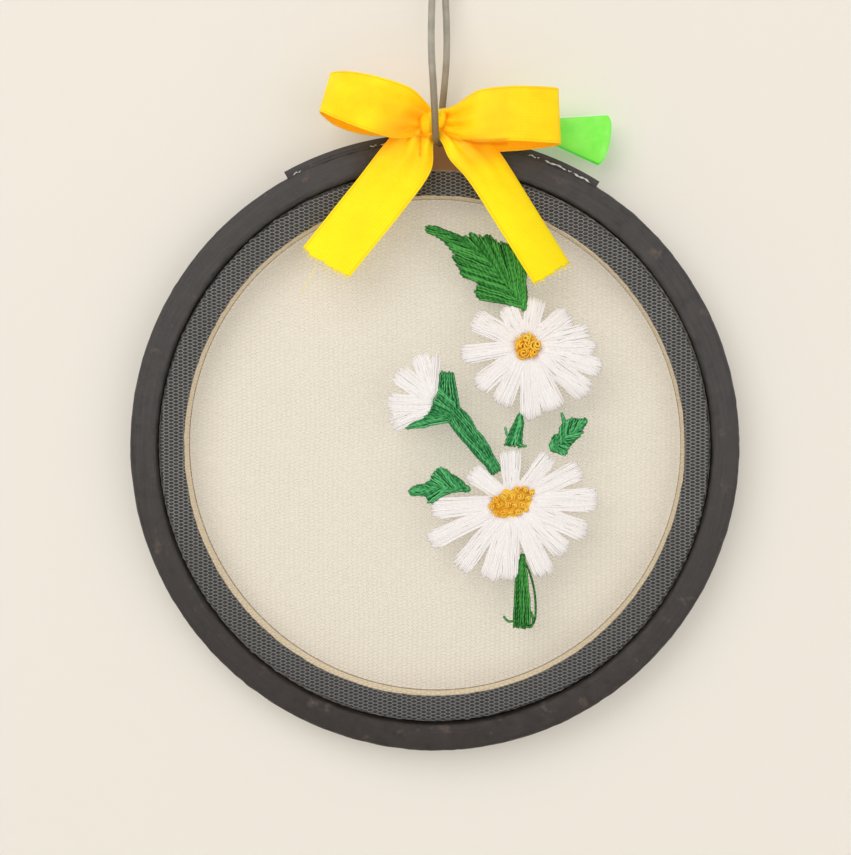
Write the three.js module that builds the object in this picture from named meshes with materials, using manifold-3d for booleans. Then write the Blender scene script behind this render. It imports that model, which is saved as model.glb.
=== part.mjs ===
// Hoop embroidery art: two flowers stitched on sheer net, which a pair of wooden hoop rings holds, with a
// satin bow at the tension screw and a loop of cord to hang it by.
// Millimetres, +Z up, front towards -Y. The origin is where a nail carries the cord's loop.

import * as THREE from "three";
import { mergeVertices } from "three/addons/utils/BufferGeometryUtils.js";
import Module from "manifold-3d";

const wasm = await Module();
wasm.setup();

// Driving dimensions. Places inside the hoop are counted from the middle of the rings.
const NAIL = { right: 1.15, back: 1.0, up: 111 }; // from the middle of the rings
const CLEARANCE = 0.3; // between pieces that touch on the real thing
const RING_STEPS = 80;

const OUTER_RING = { inner: 63.9, outer: 70.1, front: -4.5, back: 4.5, round: 1.0 };
const INNER_RING = { inner: 57.3, outer: 63.2, front: -3.2, back: 4.3, round: 0.5 };
const SPLIT = { left: -3.0, right: 6.9 };
const STRIP_LEFT = { thick: 1.4, end: -28.5 };
const STRIP_RIGHT = { thick: 1.1, end: 32 };
const STRIP_DEPTH = 8.4;

const NET_THICK = 1.0;
const NET_FRONT = INNER_RING.front - CLEARANCE - NET_THICK;
const NET_RADIUS = OUTER_RING.inner - CLEARANCE;
const STITCH_BACK = NET_FRONT - CLEARANCE;

const SCREW = { x: 2.4, y: -0.5, z: 74.3, tilt: 3.5, radius: 1.5, left: -11, right: 16 };
const LUG = { width: 4.0, radius: 3.0, left: -9.4, right: 6.4, foot: 8, bore: 1.8 };
const KNOB = { x: 16.5, z: 74.6, tilt: 10.9, spread: 14.5, reach: 24.0, neck: 9.0, thick: 3.0 };
const KNOB_HUB = { radius: 2.6, from: 11.3, to: 18.5, bore: 1.8 };

const RIBBON_THICK = 1.0;
const KNOT = { x: 0, y: -6.3, z: 74.0, halfX: 3.6, halfY: 3.95, halfZ: 3.4 };
const KNOT_BAND = { width: 4.0, inner: 1.8, outer: 2.5 };

const CORD_RADIUS = 0.8;
const CORD_SIDES = 8;
const CORD_STEPS = 78;

const material = (colour, roughness, metalness = 0) =>
  new THREE.MeshStandardMaterial({ color: colour, roughness, metalness });
const PAINTED_WOOD = material(0x3f3d3c, 0.7);
const NET = material(0xdad6cc, 0.9);
const WHITE_THREAD = material(0xf3f0ee, 0.6);
const YELLOW_THREAD = material(0xf2a92c, 0.6);
const GREEN_THREAD = material(0x1c8a44, 0.6);
const SATIN = material(0xffdc1c, 0.4);
const GREY_CORD = material(0x928b80, 0.6);
const STEEL = material(0xb9b6ae, 0.35, 1);
const GREEN_PLASTIC = material(0x6cf04a, 0.35);

const hoop = new THREE.Group();
hoop.position.set(-NAIL.right, -NAIL.back, -NAIL.up);

function place(name, geometry, finish) {
  const mesh = new THREE.Mesh(geometry, finish);
  mesh.name = name;
  hoop.add(mesh);
  return mesh;
}

function toSolid(geometry) {
  const bare = geometry.clone();
  bare.deleteAttribute("normal");
  bare.deleteAttribute("uv");
  const merged = mergeVertices(bare, 1e-4);
  return new wasm.Manifold(
    new wasm.Mesh({
      numProp: 3,
      vertProperties: new Float32Array(merged.attributes.position.array),
      triVerts: new Uint32Array(merged.index.array),
    }),
  );
}

function toGeometry(solid) {
  const mesh = solid.getMesh();
  const geometry = new THREE.BufferGeometry();
  geometry.setAttribute("position", new THREE.BufferAttribute(mesh.vertProperties, 3));
  geometry.setIndex(new THREE.BufferAttribute(mesh.triVerts, 1));
  geometry.computeVertexNormals();
  return geometry;
}

const join = (solids) => solids.reduce((whole, solid) => whole.add(solid));

// A flat piece drawn across X and up Z, with its back at the given Y and its thickness towards the front.
function upright(shape, back, thick, bevel = 0) {
  const geometry = new THREE.ExtrudeGeometry(shape, {
    depth: thick - 2 * bevel,
    bevelEnabled: bevel > 0,
    bevelThickness: bevel,
    bevelSize: bevel,
    bevelOffset: -bevel,
    bevelSegments: 1,
    curveSegments: 12,
  });
  geometry.rotateX(Math.PI / 2);
  geometry.translate(0, back - bevel, 0);
  return geometry;
}

// Round rings about the Y axis, from a closed profile with its corners cut.
function ring({ inner, outer, front, back, round }) {
  const profile = [
    [inner, front + round],
    [inner + round * 0.3, front + round * 0.3],
    [inner + round, front],
    [outer - round, front],
    [outer - round * 0.3, front + round * 0.3],
    [outer, front + round],
    [outer, back - round],
    [outer - round, back],
    [inner + round, back],
    [inner, back - round],
    [inner, front + round],
  ];
  const points = profile.map(([radius, y]) => new THREE.Vector2(radius, y));
  return new THREE.LatheGeometry(points, RING_STEPS);
}

// The outer ring is a bent strip, open at the top between the two ends that the screw draws together.
const splitBlock = new THREE.BoxGeometry(SPLIT.right - SPLIT.left, 20, 20);
splitBlock.translate((SPLIT.left + SPLIT.right) / 2, 0, OUTER_RING.outer);
place("outer_ring", toGeometry(toSolid(ring(OUTER_RING)).subtract(toSolid(splitBlock))), PAINTED_WOOD);
place("inner_ring", ring(INNER_RING), PAINTED_WOOD);

// Each end of the outer ring is stiffened by a second strip outside it.
// Angles are counted from straight up, clockwise seen from the front.
function endStrip(fromDegrees, toDegrees, thick) {
  const inner = OUTER_RING.outer + CLEARANCE;
  const toShape = (degrees) => Math.PI / 2 - THREE.MathUtils.degToRad(degrees);
  const shape = new THREE.Shape();
  shape.absarc(0, 0, inner + thick, toShape(fromDegrees), toShape(toDegrees), true);
  shape.absarc(0, 0, inner, toShape(toDegrees), toShape(fromDegrees), false);
  return upright(shape, STRIP_DEPTH / 2, STRIP_DEPTH);
}
const angleAt = (x) => THREE.MathUtils.radToDeg(Math.asin(x / OUTER_RING.outer));
place("end_strip_left", endStrip(STRIP_LEFT.end, angleAt(SPLIT.left), STRIP_LEFT.thick), PAINTED_WOOD);
place("end_strip_right", endStrip(angleAt(SPLIT.right), STRIP_RIGHT.end, STRIP_RIGHT.thick), PAINTED_WOOD);

// The tension screw lies along X, tilted down to the right, and runs through a lug on each strip.
function alongScrew(geometry) {
  geometry.rotateY(THREE.MathUtils.degToRad(SCREW.tilt));
  geometry.translate(SCREW.x, SCREW.y, SCREW.z);
  return geometry;
}

function rod(radius, from, to, sides = 24) {
  const geometry = new THREE.CylinderGeometry(radius, radius, to - from, sides);
  geometry.rotateZ(-Math.PI / 2);
  geometry.translate((from + to) / 2, 0, 0);
  return geometry;
}

function lug(from, strip) {
  const shape = new THREE.Shape();
  shape.moveTo(LUG.radius, -LUG.foot);
  shape.lineTo(LUG.radius, 0);
  shape.absarc(0, 0, LUG.radius, 0, Math.PI, false);
  shape.lineTo(-LUG.radius, -LUG.foot);
  const block = new THREE.ExtrudeGeometry(shape, {
    depth: LUG.width,
    bevelEnabled: false,
    curveSegments: 8,
  });
  block.rotateX(Math.PI / 2);
  block.rotateZ(Math.PI / 2);
  block.translate(from, 0, 0);
  const seat = OUTER_RING.outer + CLEARANCE + strip.thick + CLEARANCE;
  const under = new THREE.CylinderGeometry(seat, seat, 20, 240);
  const bore = alongScrew(rod(LUG.bore, from - 1, from + LUG.width + 1));
  return toGeometry(toSolid(alongScrew(block)).subtract(toSolid(under)).subtract(toSolid(bore)));
}
place("lug_left", lug(LUG.left, STRIP_LEFT), STEEL);
place("lug_right", lug(LUG.right, STRIP_RIGHT), STEEL);

const shank = toSolid(rod(SCREW.radius, SCREW.left, SCREW.right));
const head = toSolid(rod(LUG.radius - 0.4, SCREW.left - 1.4, SCREW.left + 0.2));
place("screw", alongScrew(toGeometry(shank.add(head))), STEEL);

// The knob is a flat fan of plastic moulded on the screw's hub.
function knob() {
  const spread = THREE.MathUtils.degToRad(KNOB.spread);
  const neckHalf = KNOB.neck * Math.tan(spread);
  const shape = new THREE.Shape();
  shape.moveTo(0, -neckHalf);
  shape.lineTo(KNOB.neck, -neckHalf);
  shape.absarc(0, 0, KNOB.reach, -spread, spread, false);
  shape.lineTo(KNOB.neck, neckHalf);
  shape.lineTo(0, neckHalf);
  const blade = upright(shape, KNOB.thick / 2, KNOB.thick, 0.4);
  blade.rotateY(THREE.MathUtils.degToRad(KNOB.tilt));
  blade.translate(KNOB.x, SCREW.y, KNOB.z);
  const hub = toSolid(alongScrew(rod(KNOB_HUB.radius, KNOB_HUB.from, KNOB_HUB.to)));
  const bore = toSolid(alongScrew(rod(KNOB_HUB.bore, KNOB_HUB.from - 1, SCREW.right + CLEARANCE)));
  return toGeometry(toSolid(blade).add(hub).subtract(bore));
}
place("screw_knob", knob(), GREEN_PLASTIC);

// The net is stretched flat over the front of the inner ring.
const net = new THREE.CylinderGeometry(NET_RADIUS, NET_RADIUS, NET_THICK, RING_STEPS);
net.translate(0, NET_FRONT + NET_THICK / 2, 0);
place("net", net, NET);

// A loft joins sections of equal length: each lists its front points across, then its back points in return.
function loft(sections) {
  const count = sections[0].length;
  const columns = count / 2;
  const positions = sections.flat().flatMap((point) => [point.x, point.y, point.z]);
  const index = [];
  for (let s = 0; s + 1 < sections.length; s += 1) {
    for (let p = 0; p < count; p += 1) {
      const here = s * count + p;
      const next = s * count + ((p + 1) % count);
      index.push(here, next, next + count, here, next + count, here + count);
    }
  }
  const last = (sections.length - 1) * count;
  for (let c = 0; c + 1 < columns; c += 1) {
    const front = [c, c + 1];
    const back = [count - 1 - c, count - 2 - c];
    index.push(front[0], back[0], front[1], front[1], back[0], back[1]);
    index.push(last + front[0], last + front[1], last + back[0]);
    index.push(last + front[1], last + back[1], last + back[0]);
  }
  const geometry = new THREE.BufferGeometry();
  geometry.setAttribute("position", new THREE.Float32BufferAttribute(positions, 3));
  geometry.setIndex(volumeOf(positions, index) < 0 ? index.reverse() : index);
  return geometry;
}

function volumeOf(positions, index) {
  const corner = (i) => new THREE.Vector3().fromArray(positions, 3 * index[i]);
  let volume = 0;
  for (let i = 0; i < index.length; i += 3) {
    volume += corner(i).dot(corner(i + 1).cross(corner(i + 2))) / 6;
  }
  return volume;
}

// Rows of numbers, one for each section, are filled in smoothly between.
function smoothRows(rows, steps) {
  const filled = [];
  for (let i = 0; i <= steps; i += 1) {
    const at = (i / steps) * (rows.length - 1);
    const low = Math.min(Math.floor(at), rows.length - 2);
    const near = [low - 1, low, low + 1, low + 2].map(
      (k) => rows[THREE.MathUtils.clamp(k, 0, rows.length - 1)],
    );
    const t = at - low;
    filled.push(
      near[0].map(
        (_, c) =>
          near[1][c] +
          0.5 * t * (near[2][c] - near[0][c]) +
          t * t * (near[0][c] - 2.5 * near[1][c] + 2 * near[2][c] - 0.5 * near[3][c]) +
          t * t * t * (1.5 * (near[1][c] - near[2][c]) + 0.5 * (near[3][c] - near[0][c])),
      ),
    );
  }
  return filled;
}

// Stitched pads lie on the net. The profile gives how full the thread is from the left edge to the right.
const PETAL_PROFILE = [0.4, 0.85, 1, 0.85, 0.4];
const LEAF_PROFILE = [0.45, 1, 0.55, 1, 0.45];

// A pad's rows are x, z, reach to the left and reach to the right, seen along the row of points.
function pad(rows, height, profile, margin = 0) {
  const sections = rows.map(([x, z, left, right], i) => {
    const before = rows[Math.max(i - 1, 0)];
    const after = rows[Math.min(i + 1, rows.length - 1)];
    const along = new THREE.Vector2(after[0] - before[0], after[1] - before[1]).normalize();
    const push = margin * ((i === rows.length - 1) - (i === 0));
    const middle = new THREE.Vector2(x, z).addScaledVector(along, push);
    const across = new THREE.Vector2(along.y, -along.x);
    const spots = profile.map((_, c) => {
      const share = (2 * c) / (profile.length - 1) - 1;
      const reach = share < 0 ? left + margin : right + margin;
      return middle.clone().addScaledVector(across, share * reach);
    });
    const full = height + 4 * margin;
    const front = spots.map((p, c) => new THREE.Vector3(p.x, STITCH_BACK - full * profile[c], p.y));
    const back = spots.map((p) => new THREE.Vector3(p.x, STITCH_BACK + margin, p.y)).reverse();
    return [...front, ...back];
  });
  return toSolid(loft(sections));
}

const ovalRadius = ({ long, short, slant }, degrees) => {
  const angle = THREE.MathUtils.degToRad(degrees - slant);
  return (long * short) / Math.hypot(short * Math.cos(angle), long * Math.sin(angle));
};

function ovalPlate({ x, z, centre }, grow, back, thick) {
  const points = Array.from({ length: centre.spokes }, (_, i) => {
    const degrees = (i * 360) / centre.spokes;
    const angle = THREE.MathUtils.degToRad(degrees);
    const out = ovalRadius(centre, degrees) + grow;
    return new THREE.Vector2(x + out * Math.cos(angle), z + out * Math.sin(angle));
  });
  return toSolid(upright(new THREE.Shape(points), back, thick));
}

// A daisy's petals start from a collar round its centre. Their rows are angle, length and width.
const PETAL_HEIGHT = 1.1;
const COLLAR = { width: 0.9, height: 0.8 };

const UPPER_DAISY = {
  x: 21.4,
  z: 23.2,
  centre: { long: 3.3, short: 3.1, slant: 0, spokes: 24 },
  petals: [
    [79, 11.0, 4.4],
    [38, 12.0, 4.9],
    [13, 14.5, 3.8],
    [-2, 15.7, 3.6],
    [-17, 17.7, 4.2],
    [-38, 17.6, 5.2],
    [-66, 16.1, 5.1],
    [-87, 16.9, 4.4],
    [-114, 14.9, 4.7],
    [-140, 14.8, 4.7],
    [-172, 15.1, 4.2],
    [153, 13.7, 5.1],
    [118, 10.1, 4.3],
  ],
};
const LOWER_DAISY = {
  x: 18.0,
  z: -12.6,
  centre: { long: 5.3, short: 3.4, slant: 20, spokes: 32 },
  petals: [
    [92, 12.0, 4.6],
    [51, 13.8, 4.1],
    [26, 17.6, 4.6],
    [2, 19.6, 5.4],
    [-22, 18.6, 4.6],
    [-43, 16.8, 4.5],
    [-65, 18.5, 4.8],
    [-92, 18.0, 4.6],
    [-106, 18.7, 4.6],
    [-128, 19.7, 4.5],
    [-154, 21.2, 4.3],
    [-175, 18.5, 4.7],
    [143, 11.8, 4.6],
  ],
};

function petals(daisy, margin = 0) {
  const { x, z, centre } = daisy;
  const solids = daisy.petals.map(([degrees, length, width]) => {
    const angle = THREE.MathUtils.degToRad(degrees);
    const start = ovalRadius(centre, degrees) - CLEARANCE;
    const shares = [
      [0, 0.62],
      [0.3, 0.72],
      [0.6, 0.9],
      [0.86, 1],
      [1, 0.74],
    ];
    const rows = shares.map(([share, full]) => {
      const out = start + share * (length - start);
      const half = (full * width) / 2;
      return [x + out * Math.cos(angle), z + out * Math.sin(angle), half, half];
    });
    return pad(rows, PETAL_HEIGHT, PETAL_PROFILE, margin);
  });
  solids.push(ovalPlate(daisy, CLEARANCE + COLLAR.width, STITCH_BACK, COLLAR.height));
  const room = ovalPlate(daisy, CLEARANCE, STITCH_BACK + 1, PETAL_HEIGHT + 3);
  return join(solids).subtract(room);
}
place("upper_daisy_petals", toGeometry(petals(UPPER_DAISY)), WHITE_THREAD);
place("lower_daisy_petals", toGeometry(petals(LOWER_DAISY)), WHITE_THREAD);

// The centres are worked in raised knots. Their rows are x and z from the middle, and the knot's radius.
const KNOT_BASE = 0.9;
const UPPER_KNOTS = [
  [-0.1, 1.75, 1.3],
  [-2.0, 0.35, 1.2],
  [2.0, 0.1, 1.3],
  [-0.7, -1.4, 1.4],
  [1.2, -1.7, 1.1],
];
const LOWER_KNOTS = [
  [0.9, 2.5, 0.9],
  [2.8, 2.8, 0.9],
  [4.1, 2.2, 0.8],
  [-3.3, 0.7, 0.9],
  [-1.6, 1.1, 0.9],
  [0.1, 1.2, 0.8],
  [1.8, 1.2, 0.9],
  [3.3, 1.1, 0.8],
  [-4.2, -0.9, 0.8],
  [-2.7, -0.5, 0.9],
  [-1.0, -0.4, 0.9],
  [0.6, -0.5, 0.8],
  [2.2, -0.4, 0.9],
  [-3.3, -2.3, 0.9],
  [-1.7, -2.4, 0.9],
  [-0.2, -2.1, 0.8],
  [1.3, -2.1, 0.9],
  [2.9, -1.5, 0.7],
];

// The bumpy face is a polar grid over a flat back.
function knottedCentre({ x, z, centre }, knots, rings) {
  const spokes = centre.spokes;
  const height = (px, pz) =>
    Math.max(
      ...knots.map(([kx, kz, radius]) => {
        const inside = radius * radius - (px - kx) ** 2 - (pz - kz) ** 2;
        return KNOT_BASE + Math.sqrt(Math.max(inside, 0)) * 0.9;
      }),
    );
  const sections = [];
  for (let r = 0; r <= rings; r += 1) {
    for (let s = 0; s < spokes; s += 1) {
      const degrees = (s * 360) / spokes;
      const angle = THREE.MathUtils.degToRad(degrees);
      const out = (ovalRadius(centre, degrees) * r) / rings;
      const px = out * Math.cos(angle);
      const pz = out * Math.sin(angle);
      const rise = r === rings ? KNOT_BASE * 0.6 : height(px, pz);
      sections.push([x + px, STITCH_BACK - rise, z + pz]);
    }
  }
  const index = [];
  const at = (r, s) => (r === 0 ? 0 : r * spokes + (s % spokes));
  for (let r = 0; r < rings; r += 1) {
    for (let s = 0; s < spokes; s += 1) {
      index.push(at(r, s), at(r + 1, s), at(r + 1, s + 1));
      if (r > 0) {
        index.push(at(r, s), at(r + 1, s + 1), at(r, s + 1));
      }
    }
  }
  const rim = sections.length;
  for (let s = 0; s < spokes; s += 1) {
    const [px, , pz] = sections[rings * spokes + s];
    sections.push([px, STITCH_BACK, pz]);
  }
  const middle = sections.length;
  sections.push([x, STITCH_BACK, z]);
  for (let s = 0; s < spokes; s += 1) {
    const next = (s + 1) % spokes;
    index.push(at(rings, s), rim + s, at(rings, next));
    index.push(at(rings, next), rim + s, rim + next);
    index.push(rim + s, middle, rim + next);
  }
  const positions = sections.flat();
  const geometry = new THREE.BufferGeometry();
  geometry.setAttribute("position", new THREE.Float32BufferAttribute(positions, 3));
  geometry.setIndex(volumeOf(positions, index) < 0 ? index.reverse() : index);
  return toGeometry(toSolid(geometry));
}
place("upper_daisy_centre", knottedCentre(UPPER_DAISY, UPPER_KNOTS, 7), YELLOW_THREAD);
place("lower_daisy_centre", knottedCentre(LOWER_DAISY, LOWER_KNOTS, 8), YELLOW_THREAD);

// The bud's petals fan out of a green cup. Their rows are root x, root z, tip x, tip z and width.
const BUD_PETALS = [
  [0.0, 12.6, 0.5, 21.3, 2.2],
  [-0.3, 12.4, -3.3, 21.2, 4.0],
  [-0.8, 11.4, -8.4, 17.2, 4.8],
  [-1.0, 9.8, -10.4, 9.9, 4.8],
  [-1.9, 8.3, -9.6, 5.2, 3.7],
];

function budPetals(margin = 0) {
  const solids = BUD_PETALS.map(([rootX, rootZ, tipX, tipZ, width]) => {
    const shares = [
      [0, 0.8],
      [0.4, 0.85],
      [0.8, 1],
      [1, 0.8],
    ];
    const rows = shares.map(([share, full]) => [
      rootX + share * (tipX - rootX),
      rootZ + share * (tipZ - rootZ),
      (full * width) / 2,
      (full * width) / 2,
    ]);
    return pad(rows, PETAL_HEIGHT, PETAL_PROFILE, margin);
  });
  return join(solids);
}
place("bud_petals", toGeometry(budPetals()), WHITE_THREAD);

// Green work is cut back from the petals that lie over its ends, so nothing overlaps.
const LEAF_HEIGHT = 0.9;
const CALYX = [
  // Upright arm of the cup.
  [
    [3.1, 17.0, 1.4, 1.5],
    [3.0, 14.0, 1.8, 1.7],
    [3.4, 10.5, 2.6, 1.7],
    [4.0, 7.6, 1.9, 1.6],
  ],
  // Arm that points left.
  [
    [-6.2, 4.6, 0.4, 0.4],
    [-2.6, 5.9, 1.2, 1.1],
    [1.0, 7.4, 1.9, 1.5],
    [4.2, 8.4, 1.6, 1.7],
  ],
  // Filling between the arms.
  [
    [-0.9, 9.5, 2.7, 2.4],
    [1.7, 8.9, 2.4, 2.0],
    [4.2, 7.9, 1.8, 1.6],
  ],
  // Stalk down to the lower flower.
  [
    [3.6, 8.8, 1.7, 1.8],
    [5.6, 5.4, 1.9, 1.8],
    [8.4, 1.6, 1.7, 1.7],
    [11.4, -2.2, 1.5, 1.4],
    [14.6, -6.3, 1.1, 1.0],
  ],
];
const TOP_LEAF = [
  [-1.9, 50.2, 0.3, 0.3],
  [2.6, 48.4, 1.2, 1.2],
  [7.4, 46.2, 3.3, 3.9],
  [9.8, 44.6, 3.9, 4.5],
  [11.8, 42.7, 5.4, 5.5],
  [14.4, 40.0, 6.5, 4.7],
  [16.2, 37.4, 5.4, 6.4],
  [17.8, 35.3, 3.3, 6.1],
  [18.9, 33.9, 2.2, 2.9],
  [20.5, 31.7, 0.5, 0.4],
];
const LEFT_LEAF = [
  [-5.6, -10.4, 0.4, 0.4],
  [-3.6, -9.9, 1.1, 1.0],
  [-1.7, -9.7, 1.9, 2.2],
  [-0.5, -9.6, 3.0, 2.6],
  [1.6, -9.5, 4.6, 1.7],
  [4.3, -9.6, 3.0, 0.6],
  [7.9, -9.6, 0.5, 0.4],
];
const RIGHT_LEAF = [
  [27.2, -0.6, 0.6, 0.6],
  [28.6, 0.6, 1.9, 2.2],
  [30.2, 1.9, 2.2, 1.9],
  [31.9, 3.4, 2.8, 1.6],
  [33.6, 4.8, 2.3, 1.0],
  [35.2, 6.2, 0.4, 0.4],
];
const MIDDLE_STEM = [
  [19.7, 7.3, 0.4, 0.4],
  [19.5, 5.3, 1.0, 1.0],
  [18.8, 2.8, 1.5, 1.5],
  [18.3, 0.4, 2.0, 2.0],
];
const BOTTOM_STEM = [
  [20.4, -24.8, 0.5, 0.5],
  [20.2, -28.7, 1.1, 1.1],
  [20.4, -34.0, 1.7, 1.7],
  [20.4, -38.0, 1.8, 1.8],
  [20.4, -41.5, 2.0, 2.0],
];

const whiteWork = join([
  petals(UPPER_DAISY, CLEARANCE),
  petals(LOWER_DAISY, CLEARANCE),
  budPetals(CLEARANCE),
]);
function greenWork(pads, profile) {
  const solids = pads.map((rows) => pad(rows, LEAF_HEIGHT, profile));
  return toGeometry(join(solids).subtract(whiteWork));
}
place("bud_calyx_stalk", greenWork(CALYX, PETAL_PROFILE), GREEN_THREAD);
place("top_leaf", greenWork([TOP_LEAF], LEAF_PROFILE), GREEN_THREAD);
place("left_leaf", greenWork([LEFT_LEAF], LEAF_PROFILE), GREEN_THREAD);
place("right_leaf", greenWork([RIGHT_LEAF], LEAF_PROFILE), GREEN_THREAD);
place("middle_stem", greenWork([MIDDLE_STEM], PETAL_PROFILE), GREEN_THREAD);
place("bottom_stem", greenWork([BOTTOM_STEM], PETAL_PROFILE), GREEN_THREAD);

// One loop of cord runs from under the knot, up its front, over the nail and down behind the knot.
const CORD_ROUTE = [
  [1.3, -3.6, 69.85],
  [1.2, -6.0, 69.75],
  [1.05, -8.6, 69.9],
  [0.85, -10.6, 70.7],
  [0.65, -11.7, 72.4],
  [0.5, -11.9, 74.8],
  [0.35, -11.3, 78.0],
  [0.1, -9.9, 82.3],
  [-0.25, -8.0, 87.3],
  [-0.45, -5.9, 92.7],
  [-0.45, -3.7, 98.2],
  [-0.35, -1.6, 103.6],
  [-0.2, 0.0, 108.0],
  [0.15, 0.75, 110.6],
  [1.15, 1.0, 111.8],
  [2.15, 1.0, 110.6],
  [2.45, 0.9, 108.0],
  [2.6, 0.7, 103.6],
  [2.85, 0.6, 98.2],
  [2.95, 0.7, 92.7],
  [2.75, 1.1, 87.3],
  [2.3, 1.9, 82.3],
  [1.95, 2.7, 79.0],
  [1.75, 3.1, 76.0],
  [1.65, 3.1, 73.2],
  [1.55, 2.4, 71.0],
  [1.45, 0.6, 69.95],
  [1.4, -1.2, 69.8],
  [1.35, -3.2, 69.85],
];
const cordCurve = new THREE.CatmullRomCurve3(
  CORD_ROUTE.map((point) => new THREE.Vector3(...point)),
  false,
  "centripetal",
);
function cordTube(radius) {
  const section = Array.from({ length: CORD_SIDES }, (_, i) => {
    const angle = (i * 2 * Math.PI) / CORD_SIDES;
    return new THREE.Vector2(radius * Math.cos(angle), radius * Math.sin(angle));
  });
  return new THREE.ExtrudeGeometry(new THREE.Shape(section), {
    steps: CORD_STEPS,
    bevelEnabled: false,
    extrudePath: cordCurve,
  });
}
place("hanging_cord", cordTube(CORD_RADIUS), GREY_CORD);

// The bow is one length of satin ribbon, tied round the screw. Each stretch has rows of
// x, y, z, lean of its width from straight up, turn of its top edge to the back, half width,
// depth of its pleats and how far its middle is cupped.
const LEFT_LOOP = [
  [-0.8, -6.6, 74.2, 8, 0, 2.6, 0.5, 0],
  [-4.1, -8.6, 74.8, 14, 4, 4.7, 0.6, 0],
  [-7.6, -11.8, 75.5, 18, 8, 6.2, 0.3, 0],
  [-13.7, -14.0, 77.3, 17, 11, 6.3, 0, 0],
  [-19.8, -13.4, 79.1, 14, 24, 6.3, 0, 0],
  [-23.8, -10.4, 80.3, 11, 37, 6.3, 0, 0],
  [-23.9, -7.8, 79.9, 11, 37, 6.3, 0, 0],
  [-20.4, -6.2, 78.2, 14, 28, 6.3, 0, 0],
  [-14.4, -5.9, 77.0, 16, 12, 6.2, 0, 0],
  [-8.6, -6.2, 75.6, 15, 6, 5.0, 0.3, 0],
  [-4.5, -6.2, 74.9, 10, 0, 3.4, 0.5, 0],
  [-0.8, -6.0, 74.2, 8, 0, 2.6, 0.5, 0],
];
const RIGHT_LOOP = [
  [0.8, -6.6, 74.2, 0, 0, 2.6, 0.5, 0],
  [4.3, -8.8, 73.8, 0, 4, 3.6, 0.6, 0],
  [7.3, -11.4, 74.0, -1, 8, 4.9, 0.4, 0],
  [10.8, -13.6, 74.4, 1, 8, 6.0, 0.1, 0],
  [17.4, -14.3, 74.8, 0, 8, 6.2, 0, 0],
  [23.4, -13.5, 74.7, -1, 6, 6.3, 0, 0],
  [27.8, -11.0, 74.7, -2, 4, 6.3, 0, 0],
  [27.9, -8.6, 74.6, -3, 4, 6.3, 0, 0],
  [23.4, -7.0, 74.0, -6, 6, 6.3, 0, 0],
  [17.4, -6.9, 73.3, -7, 8, 6.2, 0, 0],
  [10.8, -7.0, 72.7, -5, 6, 5.6, 0.2, 0],
  [5.4, -7.1, 73.2, -2, 2, 4.0, 0.5, 0],
  [0.8, -6.0, 74.0, 0, 0, 2.6, 0.5, 0],
];
const LEFT_TAIL = [
  [-0.9, -7.2, 73.4, 112, 0, 2.2, 0.4, 0],
  [-3.7, -8.9, 70.6, 116, 0, 4.2, 0.6, 0],
  [-5.9, -8.9, 65.4, 119, 0, 6.1, 0.3, 0.5],
  [-11.4, -8.1, 58.0, 126, 0, 6.3, 0, 0.3],
  [-18.6, -7.6, 49.2, 126, 0, 6.3, 0, 0.2],
  [-24.4, -8.0, 41.9, 123, 0, 6.3, 0, 0],
];
const RIGHT_TAIL = [
  [1.2, -7.2, 73.4, 70, 10, 2.2, 0.4, 0],
  [5.4, -9.4, 70.8, 66, 16, 3.9, 0.6, 0],
  [8.4, -10.4, 67.4, 62, 26, 5.6, 0.4, 0.4],
  [12.3, -10.9, 62.4, 58, 36, 6.0, 0.1, 1.0],
  [18.6, -10.7, 52.4, 58, 38, 6.1, 0, 1.0],
  [26.8, -10.6, 39.4, 59, 38, 6.1, 0, 0.7],
];
const RIBBON_PLACES = [-1, -2 / 3, -1 / 3, 0, 1 / 3, 2 / 3, 1];

function ribbon(rows, steps) {
  const filled = smoothRows(rows, steps);
  const sections = filled.map(([x, y, z, lean, turn, half, pleat, cup], i) => {
    const before = filled[Math.max(i - 1, 0)];
    const after = filled[Math.min(i + 1, steps)];
    const along = new THREE.Vector3(after[0] - before[0], after[1] - before[1], after[2] - before[2]);
    const leanBy = THREE.MathUtils.degToRad(lean);
    const turnBy = THREE.MathUtils.degToRad(turn);
    const across = new THREE.Vector3(
      Math.sin(leanBy) * Math.cos(turnBy),
      Math.sin(turnBy),
      Math.cos(leanBy) * Math.cos(turnBy),
    );
    const out = new THREE.Vector3().crossVectors(along, across).normalize();
    const face = (side, share) =>
      new THREE.Vector3(x, y, z)
        .addScaledVector(across, share * half)
        .addScaledVector(
          out,
          (side * RIBBON_THICK) / 2 + pleat * Math.cos(3 * Math.PI * share) + cup * (1 - share * share),
        );
    const front = RIBBON_PLACES.map((share) => face(1, share));
    const back = RIBBON_PLACES.map((share) => face(-1, share)).reverse();
    return [...front, ...back];
  });
  return toSolid(loft(sections));
}

// The knot is a tight barrel in front of the screw, and its band passes behind the screw.
function knotSolid() {
  const profile = Array.from({ length: 9 }, (_, i) => {
    const share = (2 * i) / 8 - 1;
    const radius = i % 8 === 0 ? 0 : Math.pow(1 - Math.abs(share) ** 2.6, 0.5);
    return new THREE.Vector2(radius, share);
  });
  const barrel = new THREE.LatheGeometry(profile, 18);
  barrel.rotateZ(-Math.PI / 2);
  barrel.scale(KNOT.halfX, KNOT.halfY, KNOT.halfZ);
  barrel.translate(KNOT.x, KNOT.y, KNOT.z);
  const half = KNOT_BAND.width / 2;
  const band = toSolid(alongScrew(rod(KNOT_BAND.outer, -half - SCREW.x, half - SCREW.x)));
  return toSolid(barrel).add(band);
}
const screwRoom = toSolid(alongScrew(rod(KNOT_BAND.inner, SCREW.left, SCREW.right)));
const cordRoom = toSolid(cordTube(CORD_RADIUS + CLEARANCE + 0.05));
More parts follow.
